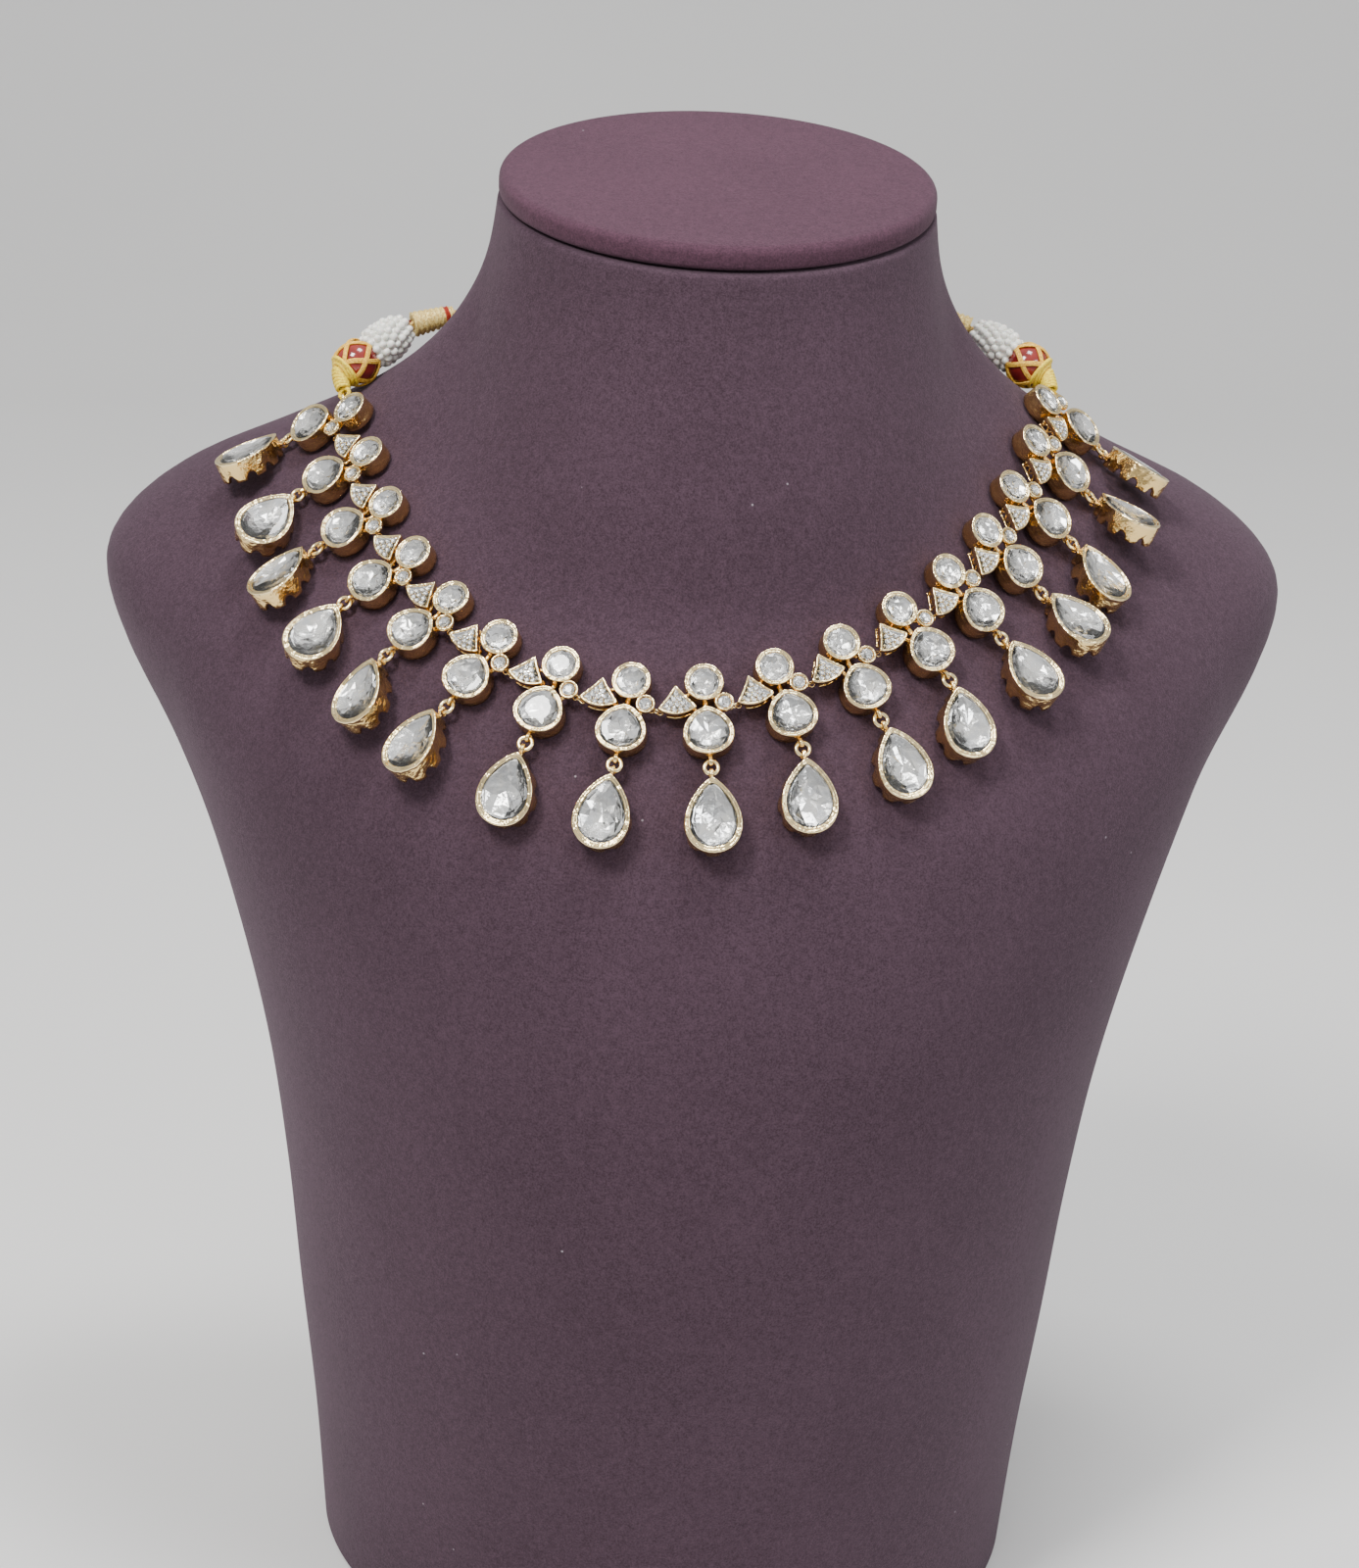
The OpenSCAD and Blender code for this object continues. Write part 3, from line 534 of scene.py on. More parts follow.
tint = blended(nap, spread(nap, mix, 0.41, 0.6), given["Deep"], given["Brushed"])
rare = wire(nap, "ShaderNodeSeparateColor", {"Color": speck.outputs["Color"]}).outputs[0]
lint = sums(nap, "MULTIPLY", spread(nap, speck.outputs["Distance"], 0.045, 0.02),
            spread(nap, rare, 0.86, 0.9, 0.0, 0.55))
nap.links.new(blended(nap, lint, tint, given["Lint"]), out["Colour"])
nap.links.new(spread(nap, mix, 0.3, 0.7, 0.98, 0.86), out["Roughness"])
nap.links.new(sums(nap, "ADD", mix, lint), out["Height"])

plum_suede = finish_of("plum_suede", nap, {
    "Deep": (0.0295, 0.0145, 0.0232, 1), "Brushed": (0.0625, 0.0335, 0.051, 1)}, 0.6, 0.0004,
    Specular_IOR_Level=0.3, Sheen_Weight=0.12, Sheen_Roughness=0.5, Sheen_Tint=(0.6, 0.45, 0.55, 1))
cap_suede = finish_of("cap_suede", nap, {
    "Deep": (0.040, 0.0155, 0.0275, 1), "Brushed": (0.077, 0.0305, 0.052, 1)}, 0.6, 0.0004,
    Specular_IOR_Level=0.3, Sheen_Weight=0.08, Sheen_Roughness=0.5, Sheen_Tint=(0.7, 0.55, 0.65, 1))
print("suede on", plum_suede.name, cap_suede.name)

# %% Metal with a painted highlight on rims and painted shade on walls
painted_light_and_tone, given, out = group("metal_painted_light_and_tone", {
    "Wall": (0.6, 0.35, 0.12, 1), "Rim": (0.95, 0.75, 0.5, 1), "Dull": 0.3, "Bright": 0.12})
place = own_place(painted_light_and_tone)
tone = wire(painted_light_and_tone, "ShaderNodeAttribute", attribute_name="tone").outputs["Fac"]
cloud = noise(painted_light_and_tone, place, 480.0, 3.0)
dents = noise(painted_light_and_tone, place, 620.0, 2.0)
# Painted light: the tone mixes Wall and Rim, so a high tone paints a highlight on the rims and a low
# tone paints shade on the walls that face the dark suede; the cloud adds a random tone.
share = spread(painted_light_and_tone, sums(painted_light_and_tone, "ADD", tone, sums(painted_light_and_tone, "MULTIPLY", cloud, 0.3)), 0.12, 1.12)
painted_light_and_tone.links.new(blended(painted_light_and_tone, share, given["Wall"], given["Rim"]), out["Colour"])
rough = wire(painted_light_and_tone, "ShaderNodeMix", {0: share, 2: given["Dull"], 3: given["Bright"]}, data_type="FLOAT")
uneven = spread(painted_light_and_tone, cloud, 0.35, 0.65, -0.03, 0.05)
painted_light_and_tone.links.new(sums(painted_light_and_tone, "ADD", rough.outputs[0], uneven), out["Roughness"])
painted_light_and_tone.links.new(dents, out["Height"])

# Wall is the deep gold of painted shade on the walls; Rim is the pale gold of painted highlight on the
# rims.
gold = finish_of("gold", painted_light_and_tone, {
    "Wall": (0.86, 0.59, 0.22, 1), "Rim": (0.97, 0.78, 0.43, 1), "Dull": 0.22, "Bright": 0.09},
    0.75, 0.0005, Metallic=1.0)
# The ring wires use the same painted highlight and shade colours at one fixed tone.
ring_gold = finish_of("ring_gold", painted_light_and_tone, {
    "Wall": (0.90, 0.66, 0.28, 1), "Rim": (1.0, 0.85, 0.50, 1), "Dull": 0.2, "Bright": 0.14},
    0.15, 0.0002, Metallic=1.0)
foil = finish_of("foil", painted_light_and_tone, {
    "Wall": (0.92, 0.92, 0.91, 1), "Rim": (1.0, 0.99, 0.96, 1), "Dull": 0.2, "Bright": 0.06},
    0.3, 0.0003, Metallic=1.0)

# %% The lie of thread
thread, given, out = group("thread_lie", {
    "Shade": (0.4, 0.3, 0.05, 1), "Light": (0.9, 0.7, 0.15, 1), "Other": (0.3, 0.02, 0.02, 1),
    "Hair scale": 2600.0})
place = own_place(thread)
tone = wire(thread, "ShaderNodeAttribute", attribute_name="tone").outputs["Fac"]
hairs = noise(thread, place, given["Hair scale"], 2.0, 0.7)
body = blended(thread, spread(thread, hairs, 0.35, 0.62), given["Shade"], given["Light"])
thread.links.new(blended(thread, spread(thread, tone, 0.6, 0.9), body, given["Other"]), out["Colour"])
thread.links.new(spread(thread, hairs, 0.3, 0.7, 0.75, 0.45), out["Roughness"])
thread.links.new(hairs, out["Height"])

yellow_thread = finish_of("yellow_thread", thread, {
    "Shade": (0.66, 0.40, 0.012, 1), "Light": (0.98, 0.80, 0.05, 1)}, 0.6, 0.0002, Sheen_Weight=0.1)
net_thread = finish_of("net_thread", thread, {
    "Shade": (0.62, 0.30, 0.02, 1), "Light": (0.96, 0.64, 0.10, 1)}, 0.6, 0.0002, Metallic=0.25)
wound_thread = finish_of("wound_thread", thread, {
    "Shade": (0.50, 0.32, 0.07, 1), "Light": (0.93, 0.76, 0.32, 1), "Other": (0.35, 0.03, 0.012, 1)},
    0.6, 0.0002, Metallic=0.35)
cord_thread = finish_of("cord_thread", thread, {
    "Shade": (0.48, 0.28, 0.06, 1), "Light": (0.85, 0.62, 0.22, 1), "Other": (0.16, 0.012, 0.012, 1)},
    0.6, 0.0002)

# %% Pearl, red bead and clear stone
def own_finish(name, colours, scale, rough, **sockets):
    """A material with one noise of its own between two colours, and a faintly changing
    roughness."""
    material, tree, shader = blank(name, sockets)
    cloud = noise(tree, own_place(tree), scale, 2.0)
    tree.links.new(blended(tree, spread(tree, cloud, 0.38, 0.62), *colours), shader.inputs["Base Color"])
    tree.links.new(spread(tree, cloud, 0.35, 0.65, *rough), shader.inputs["Roughness"])
    return material


seed_pearl = own_finish(
    "seed_pearl", ((0.78, 0.77, 0.71, 1), (0.91, 0.90, 0.84, 1)), 700.0, (0.16, 0.26),
    Coat_Weight=0.5, Coat_Roughness=0.08, Subsurface_Weight=0.08, Subsurface_Scale=0.001)
red_bead = own_finish(
    "red_bead", ((0.15, 0.008, 0.006, 1), (0.27, 0.022, 0.014, 1)), 260.0, (0.12, 0.2),
    Coat_Weight=0.6, Coat_Roughness=0.05)
clear_stone = own_finish(
    "cut_stone", ((0.93, 0.94, 0.96, 1), (1.0, 0.99, 0.97, 1)), 600.0, (0.0, 0.03),
    Transmission_Weight=1.0, IOR=1.55)
print("materials", len(bpy.data.materials))

# %% The neck cord
cord = make("twisted_neck_cord", rope(cord_path, 0.9, 3, 4.4, tones=(0, 0, 1)), [cord_thread],
            ["neck_cord"])

# %% [markdown]
# The display neck is a moulded bust wrapped in thin suede: a body that swells over the shoulders,
# blended with a round neck. Its skin is a function of the angle round the neck and the height. At
# each height the body is an ellipse, and the higher power mean of body and neck gives one smooth
# wrap with a soft fold where they meet.

# %% Rows of the bust and a smooth value between them
# Columns: height, neck radius, half width, front depth, back depth, backward turn, swell of the
# shoulders
bust_rows = np.array([
    [0, 40, 76.5, 78, 46, 0, 0], [30, 40, 79, 82.5, 48, 0, 0], [60, 40, 82.5, 87, 50, 0, 0],
    [90, 40, 85.7, 91, 52.5, 0, 0], [120, 40, 90.3, 93, 55, 0, 0], [150, 42, 97.7, 92, 57, 1.5, 0],
    [180, 46, 107.5, 86, 57, 4, 4.5], [200, 50, 116.5, 75.5, 56, 7.5, 6.5],
    [215, 53, 121.5, 63, 53, 10.5, 6], [225, 54.5, 119.5, 53, 47, 13, 4],
    [235, 55, 111, 45, 41, 15.5, 0],
    [245, 54, 90, 38, 36, 16.5, 0], [255, 51.8, 70.5, 29.5, 31, 11, 0], [265, 49.4, 56, 19.5, 25, 6, 0],
    [275, 47.3, 45, 13, 18, 3.5, 0], [286, 45.4, 35, 9, 9, 1.5, 0], [298, 44.2, 28, 7, 7, 0, 0]])


def smooth_row(column, x):
    """Cubic pieces through a column of the table; the slope at a row is that between its two
    neighbours."""
    at, value = bust_rows[:, 0], bust_rows[:, column]
    row = np.arange(len(at))
    before, after = np.maximum(row - 1, 0), np.minimum(row + 1, len(at) - 1)
    slope = (value[after] - value[before]) / (at[after] - at[before])
    i = np.clip(np.searchsorted(at, x, side="right") - 1, 0, len(at) - 2)
    w = at[i + 1] - at[i]
    s = np.clip((x - at[i]) / w, 0, 1)
    return (value[i] * (1 + 2 * s) * (1 - s) ** 2 + value[i + 1] * s * s * (3 - 2 * s)
            + w * (slope[i] * s * (1 - s) ** 2 - slope[i + 1] * s * s * (1 - s)))


bust_high, cap_lean, cap_thick = 302.0, np.radians(10), 5.0
neck_top = bust_high - 5.4 / np.cos(cap_lean)
lean_from, fold_power = 262, 8
# The shoulders swell from this far past the front, over this many degrees, and fade out towards
# the back
swell_from, swell_over, swell_fade = 80, 20, 60


def eased(x):
    """0 below 0 and 1 above 1, with a level start and end between them."""
    s = np.clip(x, 0, 1)
    return s * s * (3 - 2 * s)


def skin(angle, z, inset=0.0):
    """Distance from the neck's axis is the eighth-power mean of body and neck; the shoulders swell
    past the side, and the neck's top tips with its cap."""
    turned = angle - np.radians(smooth_row(5, z)) * np.sin(angle)
    depth = np.where(np.cos(turned) > 0, smooth_row(3, z), smooth_row(4, z))
    body = 1 / np.sqrt((np.sin(turned) / smooth_row(2, z)) ** 2 + (np.cos(turned) / depth) ** 2)
    off = np.degrees(np.arccos(np.clip(np.cos(angle), -1, 1)))
    share = eased((off - swell_from) / swell_over) * eased((180 - off) / swell_fade)
    body = body + smooth_row(6, z) * share
    r = (body ** fold_power + smooth_row(1, z) ** fold_power) ** (1 / fold_power) - inset
    tip = np.maximum(0, (z - lean_from) / (neck_top - lean_from)) * np.tan(cap_lean)
    return np.stack([r * np.sin(angle), -r * np.cos(angle), z - tip * r * np.cos(angle)], -1)


# %% The wrapped bust
foot_round, brim_round = 0.9, 0.8
angle = around(240)[None]
edge = np.linspace(0, np.pi / 2, 5)[:, None]
inwards, upwards = 1 - np.cos(edge), np.sin(edge)
foot = skin(angle, foot_round * (1 - upwards) + 0 * angle, foot_round * inwards + 0 * angle)[::-1]
foot[:, :, 2] = foot_round * (1 - upwards[::-1])
heights = np.concatenate([np.linspace(1, 180, 50), np.linspace(182, neck_top - brim_round, 90)])[:, None]
wall = skin(angle, heights + 0 * angle)
brim = skin(angle, neck_top - brim_round + brim_round * upwards[1:] + 0 * angle,
            brim_round * inwards[1:] + 0 * angle)
bust = make("suede_bust", sheet(np.concatenate([foot, wall, brim]), first_pole=True, last_pole=True),
            [plum_suede], ["bust_form"])
print("bust", len(bust.data.polygons), "faces")

# %% [markdown]
# The neck's cap is a separate padded disc with a rounded edge and a dark seam under it. It is a
# profile turned about its own axis, then tipped with the neck. Its top swells by a fraction of a
# millimetre, as cloth over board.

# %% The cap
cap_r, cap_edge = 44.4, 1.9
turn_in = np.linspace(0, np.pi / 2, 7)
section = np.concatenate([
    [[2, 0], [cap_r - 4, 0], [cap_r - 0.8, 0.05], [cap_r - 0.2, 0.4], [cap_r, 1.1]],
    np.stack([cap_r - cap_edge * (1 - np.cos(turn_in)),
              cap_thick - 0.2 - cap_edge * (1 - np.sin(turn_in))], 1),
    [[cap_r * k, cap_thick - 0.2 + 0.2 * (1 - k * k)] for k in (0.9, 0.8, 0.65, 0.5, 0.35, 0.2, 0.05)]])
lean = np.array([
    [1, 0, 0], [0, np.cos(cap_lean), np.sin(cap_lean)], [0, -np.sin(cap_lean), np.cos(cap_lean)]])
cap = shifted(sheet(spun(section, 180), first_pole=True, last_pole=True), [0, 0, -cap_thick])
cap = make("suede_neck_cap", moved(cap, lean, [0, 0, bust_high]), [cap_suede], ["neck_cap"])
print("cap", len(cap.data.polygons), "faces")

# %% [markdown]
# A cup holds each stone. Goldsmiths bend a strip round the stone, solder it to a floor and roll
# its edge over. Its surface is a section carried round the outline: the section gives how far
# inside the outer line and how high each row lies. The rolled rim and the bright slope inside it
# are the lightest metal in the photograph.

# %% A cup round an outline
arch_half, arch_high, wall_rows, outer_rows_from = 1.15, 2.6, range(1, 8), 4


def cup(w, h, blunt, high, wall, steps, pull=1.0, arches=()):
    """Rows (inset, height, tone) carried round an egg outline; arches lift the lower rows into
    openings."""
    roll = np.linspace(np.pi, 0, 7)
    rim = min(0.27, wall * 0.4)
    # Third number of a row is its tone: 1 paints a highlight on the rolled rim and the slope inside it,
    # 0 paints shade on the walls and floor.
    rows = [(wall, high - 2.3, 0), (wall, 1.2, 0), (wall, 0.1, 0), (wall - 0.1, 0, 0), (0.12, 0, 0),
            (0, 0.12, 0.05), (0, 1.0, 0.05), (0, 2.0, 0.1), (-0.01, high - 0.9, 0.2),
            (0, high - 0.45, 0.5)]
    rows += [(rim - rim * np.cos(np.pi - a) - 0.02, high - rim + rim * np.sin(a), 1.0) for a in roll]
    rows += [(wall * 0.85, high - 0.14, 0.95), (wall + 0.17, high - 0.26, 0.85),
             (wall + 0.2, high - 0.31, 0.7),
             (wall + 0.16, high - 0.36, 0.4), (wall * 1.02, high - 0.9, 0.2), (wall, high - 1.46, 0.1)]
    rows = np.array(rows)
    lines = [egg(w - 2 * inset, h - 2 * inset * pull, blunt, steps) for inset in rows[:, 0]]
    grid = np.array([np.column_stack([line, np.full(steps, z)]) for line, z in zip(lines, rows[:, 1])])
    if len(arches):
        outer = egg(w, h, blunt, steps)
        seen = np.arctan2(outer[:, 1] + 1, outer[:, 0])
        far = np.hypot(outer[:, 0], outer[:, 1] + 1)
        gap = (seen[:, None] - np.radians(arches)[None] + np.pi) % (2 * np.pi) - np.pi
        off = (np.abs(far[:, None] * np.sin(gap)) + 9 * (np.abs(gap) > 1)).min(1)
        rise = np.where(off < arch_half, 0.2 + np.sqrt(np.maximum(arch_half ** 2 - off ** 2, 0)), 0)
        dent = np.exp(-(off / 0.9) ** 2) * 0.34
        for k in wall_rows:
            z = rows[k, 1]
            grid[k, :, 2] = np.maximum(z, rise + (z * 0.35 if z > 0 else 0))
            if k >= outer_rows_from:
                grid[k, :, :2] -= unit(outer + [0, 1]) * (dent * (1 - z / arch_high))[:, None]
    return sheet(grid, rows[:, 2], first_pole=True, last_pole=True)


def turned(middle, section, steps=36, tone=0.0):
    """A profile of radius and height turned about an upright axis, closed at both ends."""
    return shifted(sheet(spun(section, steps), tone, first_pole=True, last_pole=True), middle)


def rod(a, b, thick, flat=1.0):
    """A short solder bar: a tube of a few rounded sections between two places."""
    a, b = np.asarray(a, float), np.asarray(b, float)
    s = np.array([0, 0.04, 0.5, 0.96, 1])[:, None]
    # Tone 0.25 paints the bar mostly in the shaded wall colour with a little painted highlight.
    return tube(a + (b - a) * s, thick * np.array([0.6, 1, 0.9, 1, 0.6]), 10, flat=flat, tone=0.25)


def grain(middle, r):
    """A tiny raised bead of metal, six sides round and four rows high."""
    t = np.linspace(0.25, np.pi - 0.25, 4)
    # Tone 1.0 paints the bead in the full highlight colour of the rims.
    return turned(middle, np.stack([r * np.sin(t), r * np.cos(t)], 1), 6, 1.0)


# %% [markdown]
# The fan plate is a slice of a disc with its tip up, sunk a little inside a raised rim and set
# with ten small stones in rows of one to four. Under it runs a gallery: a base wire and a
# scalloped wire that carries the plate.

# %% The fan plate's outline
fan_tip, fan_r, fan_half, fan_high = np.array([-5.5, 4.9]), 6.1, np.radians(39), 3.4
left_eye = fan_tip - fan_r * np.array([np.sin(fan_half), np.cos(fan_half)]) + [0.63, 0.08]


def fan_line(inset, steps=24):
    """Arc from left to right, then the right edge up and the left edge down, each moved inwards by
    the inset and drawn in a little at its middle; three passes of averaging soften the corners."""
    back, reach = inset / np.sin(fan_half), fan_r - inset
    t = np.linspace(-fan_half, fan_half, steps * 3 // 2 + 1)
    r = np.sqrt(reach ** 2 - (back * np.sin(t)) ** 2) - back * np.cos(t)
    arc = np.stack([r * np.sin(t), -back - r * np.cos(t)], 1)
    v = np.linspace(0, 1, steps + 1)[1:, None]
    bow = 0.22 * np.sin(np.pi * v)
    tip = np.array([[0, -back]])
    right_side = arc[-1] + (tip - arc[-1]) * v - bow * [np.cos(fan_half), 0]
    left_side = tip + (arc[0] - tip) * v + bow * [np.cos(fan_half), 0]
    line = np.concatenate([arc, right_side, left_side[:-1]])
    for _ in range(3 if inset < 1.5 else 0):
        line = (np.roll(line, 1, 0) + 2 * line + np.roll(line, -1, 0)) / 4
    return line + fan_tip


def fan():
    """Plate, rim, gallery wires and the small beads between the stones."""
    # Third number of a row is its tone: 1 paints a highlight on the raised rim, 0 paints shade on the
    # outer wall.
    rows = [(1.9, 2.15, 0), (0.7, 2.15, 0), (0.12, 2.15, 0), (0, 2.27, 0.1), (0, fan_high - 0.12, 0.6),
            (0.1, fan_high, 1), (0.33, fan_high, 1), (0.43, fan_high - 0.1, 0.8),
            (0.46, fan_high - 0.42, 0.4), (1.9, fan_high - 0.42, 0.4)]
    grid = np.array([np.column_stack([fan_line(i), np.full(len(fan_line(i)), z)]) for i, z, _ in rows])
    plate = sheet(grid, [r[2] for r in rows], first_pole=True, last_pole=True, paint_from=8)
    line = fan_line(0.26, 48)
    line = line[np.linalg.norm(line - left_eye, axis=1) > 1.35]
    start = np.linalg.norm(np.diff(line, axis=0), axis=1).argmax()
    if np.linalg.norm(line[start + 1] - line[start]) > 0.6:
        line = np.roll(line, -start - 1, 0)
    u = np.linspace(0, 1, len(line))
    # The gallery wires take low tones, close to the painted wall shade.
    base = tube(np.column_stack([line, np.full(len(line), 0.78)]), 0.24, 6, tone=0.2)
    waves = tube(np.column_stack([line, 0.9 + 1.25 * np.abs(np.sin(9 * np.pi * u))]), 0.2, 6, tone=0.15)
    return [plate, base, waves]


# %% Where the small stones and the beads sit
first_row, row_step, stone_step = 0.72, 1.06, 1.17
pave_at = []
for row in range(1, 5):
    r = first_row + row_step * row
    for k in range(row):
        a = (k - (row - 1) / 2) * stone_step / r
        pave_at.append([fan_tip[0] + r * np.sin(a), fan_tip[1] - 0.25 - r * np.cos(a)])
pave_at = np.array(pave_at)
between = (pave_at[:, None] + pave_at[None]) / 2
apart = np.linalg.norm(pave_at[:, None] - pave_at[None], axis=2)
once = np.arange(len(pave_at))[:, None] < np.arange(len(pave_at))[None]
grain_at = between[(apart < 1.35) & once]
print("small stones a plate", len(pave_at), "beads", len(grain_at))

# %% [markdown]
# A setting is one soldered piece: round cup above, egg-shaped cup below, a small collet at the
# lower right of the round one, and the fan plate at the left. The first has an end eye in place
# of the plate, and the last a wider eye after the collet. All of them are worked out once in the
# setting's own frame and carried to each place.

# %% Small shapes of a setting
hinge, link, end = (0.62, 1.1, 0.8), (0.46, 0.7, 0.5), (0.6, 1.05, 0.5)  # hole, outer radius, thickness
upright, sideways, link_z = (0, 0, 1), (1, 0, 0), 0.9


def eye(place, axis, hole, outer, thick):
    """A flat eye: a ring whose section fills the space between hole and outer radius."""
    wide = outer - hole
    # Tone 0.55 paints the eye halfway between painted wall shade and painted rim highlight.
    return hoop(place, axis, (hole + outer) / 2, wide / 2, thick / wide, 26, 10, 0.55)


def collet():
    """A little cup on a stem, turned about its own axis."""
    section = [(0.05, 0.7), (0.55, 0.72), (0.6, 0.9), (0.62, 2.0), (1.1, 2.3), (1.7, 2.4), (1.83, 2.6),
               (1.84, 3.0)]
    section += [(1.65 - 0.2 * np.cos(np.pi - a), 3.22 + 0.2 * np.sin(a))
                for a in np.linspace(np.pi, 0, 6)]
    section += [(1.36, 3.15), (1.33, 2.75), (0.05, 2.72)]
    # Tones paint a highlight on the rolled rim (1.0) and shade on the stem and walls (0.1 to 0.3).
    tones = [0.1] * 6 + [0.3, 0.6] + [1.0] * 6 + [0.7, 0.3, 0.2]
    return turned(collet_at, section, 40, tones)


cup_upper = shifted(cup(upper_w, upper_w, 0, upper_high, cup_wall, 72), upper_at)
cup_lower = shifted(cup(lower_w, lower_h, lower_blunt, lower_high, cup_wall, 88), lower_at)
hinge_at = [0, lower_at[1] - lower_h / 2 - 0.9, 1.8]
common = [
    cup_upper, cup_lower, collet(), eye(hinge_at, sideways, *hinge),
    rod([0, -9.95, 1.8], [0, -9.1, 1.8], 0.46), rod([0, 1.7, 1.45], [0, -0.6, 1.45], 0.62),
    rod([3.55, 0.75, 1.4], [1.7, 2.0, 1.4], 0.45), rod([3.55, 0.75, 1.4], [2.2, -1.4, 1.4], 0.45)]
fan_parts = fan() + [grain([x, y, fan_high - 0.3], 0.17) for x, y in grain_at] + [
    rod([-4.1, 2.8, 1.8], [-2.4, 3.25, 1.8], 0.42), rod([-2.3, 1.1, 1.5], [-1.8, -1.0, 1.5], 0.42),
    eye([*left_eye, link_z], upright, *link),
    rod([left_eye[0] + 0.6, left_eye[1], link_z], [left_eye[0] + 2.1, left_eye[1] + 0.3, link_z], 0.25)]
mid_eye = [eye([4.7, 0.5, link_z], upright, *link), rod([3.55, 0.75, link_z], [4.15, 0.62, link_z], 0.3)]
last_eye = [eye([5.7, 0.1, link_z], upright, *end), rod([3.55, 0.75, link_z], [4.85, 0.35, link_z], 0.4)]
first_eye = [eye([-4.5, 1.9, link_z], upright, *end), rod([-3.7, 1.65, link_z], [-0.5, 0.5, 0.95], 0.45)]

# %% All settings
for i, (turn, shift) in enumerate(seats):
    own = common + (first_eye if i == 0 else fan_parts) + (last_eye if i == len(seats) - 1 else mid_eye)
    name = f"setting_{i + 1:02d}"
    made = make(name + "_cups", moved(joined(own), turn, shift), [gold, foil], [name])
print("settings", len(seats), "with", len(made.data.polygons), "faces each")

# %% [markdown]
# The pear drops are deeper cups. Their backs are cut with arches, so light comes in behind the
# stone, and the wall pulls in at each arch, which gives the petal-like lobes seen on the drops
# that hang turned.

# %% All drops
arch_angles = [24, 68, 112, 156, 204, 248, 292, 336]
drop_parts = joined([
    cup(drop_w, drop_h, drop_blunt, drop_high, drop_wall, 176, drop_pull, arch_angles),
    eye([0, drop_h / 2 + 0.95, 1.8], sideways, 0.62, 1.1, 0.85), rod([0, 7.6, 1.8], [0, 6.6, 2.0], 0.5)])
for i, (turn, shift, _) in enumerate(hangs):
    name = f"drop_{i + 1:02d}"
    made = make(name + "_cup", moved(drop_parts, turn, shift), [gold], [name])
print("drops", len(hangs), "with", len(made.data.polygons), "faces each")

# %% [markdown]
# The stones are flat-topped and backed with bright foil. The clear top is one glass surface with
# a table and slanting facets. The lower half carries the foil's facets as polished metal seen
# through the glass, each turned a little differently, which gives the broken grey and white
# sparkle.

# %% One cut stone
chance = np.random.default_rng(7)


def cut_stone(w, h, blunt, foot, girdle, top_z, count, deep):
    """Rings of corners on scaled outlines: a fine girdle, then crown, table, and three rings of
    foil facets that end in a point. Corners of the crown and of the foil rings are moved a little
    at random."""
    fine = egg(w, h, blunt, 3 * count)
    coarse = (fine[0::3] + fine[2::3]) / 2
    half = (coarse + np.roll(coarse, -1, 0)) / 2

    def ringed(line, scale, z, shake=0.0):
        move = chance.normal(0, shake, (len(line), 3)) * [w / 8, w / 8, deep / 3]
        return np.column_stack([line * scale, np.full(len(line), z)]) + move

    girdle_foot, girdle_top, crown, table, foil_out, foil_mid, foil_in, foil_tip, middle = range(9)
    rings = [ringed(fine, 1, foot), ringed(fine, 1, girdle),
             ringed(coarse, 0.91, girdle + 0.78 * (top_z - girdle), 0.03), ringed(half, 0.66, top_z),
             ringed(coarse, 0.88, foot - deep * 0.16, 0.1), ringed(half, 0.58, foot - deep * 0.55, 0.2),
             ringed(coarse, 0.3, foot - deep * 0.8, 0.22),
             np.array([[0, -0.04 * h, foot - deep]]), np.array([[0, 0, top_z]])]
    at = np.cumsum([0] + [len(r) for r in rings])
    k, f = np.arange(count), np.arange(3 * count)
    k2, f2 = (k + 1) % count, (f + 1) % (3 * count)

    def tri(a, b, c):
        return np.stack([a, b, c, 0 * a - 1], 1)

    def fringe(outer, inner):
        """Outer ring of three corners to each inner corner: three slim faces to a corner and one
        between corners."""
        return np.concatenate([tri(at[outer] + f, at[outer] + f2, at[inner] + f // 3),
                               tri(at[outer] + 3 * k2, at[inner] + k2, at[inner] + k)])

    def zigzag(outer, inner):
        """Two rings turned half a step: triangles point inwards and outwards by turns."""
        return np.concatenate([tri(at[outer] + k, at[outer] + k2, at[inner] + k),
                               tri(at[outer] + k2, at[inner] + k2, at[inner] + k)])

    def closing(ring, point):
        """One fan of triangles from a ring to a point."""
        return tri(at[ring] + k, at[ring] + k2, 0 * k + at[point])

    skirt = np.stack([f, f2, at[girdle_top] + f2, at[girdle_top] + f], 1)
    straight = np.concatenate([tri(at[foil_mid] + k, at[foil_mid] + k2, at[foil_in] + k2),
                               tri(at[foil_mid] + k, at[foil_in] + k2, at[foil_in] + k)])
    top = np.concatenate([fringe(girdle_top, crown), zigzag(crown, table), closing(table, middle)])
    back = np.concatenate([fringe(girdle_foot, foil_out), zigzag(foil_out, foil_mid), straight,
                           closing(foil_in, foil_tip)])
    faces = np.concatenate([top, skirt, back[:, [1, 0, 2, 3]]])
    stone = part(np.concatenate(rings), faces, False, chance.random(at[-1]))
    stone[2] = np.concatenate([np.zeros(len(top)), np.ones(len(skirt) + len(back))])
    return stone


# %% All stones
def in_cup(w, h, blunt, wall, high, count, pull=1.0, deep=0.75):
    """A stone a hair smaller than the inside of its cup."""
    return cut_stone(*stone_size(w, h, wall, pull), blunt, high - 0.5, high - girdle_down,
                     high + table_up, count, deep)


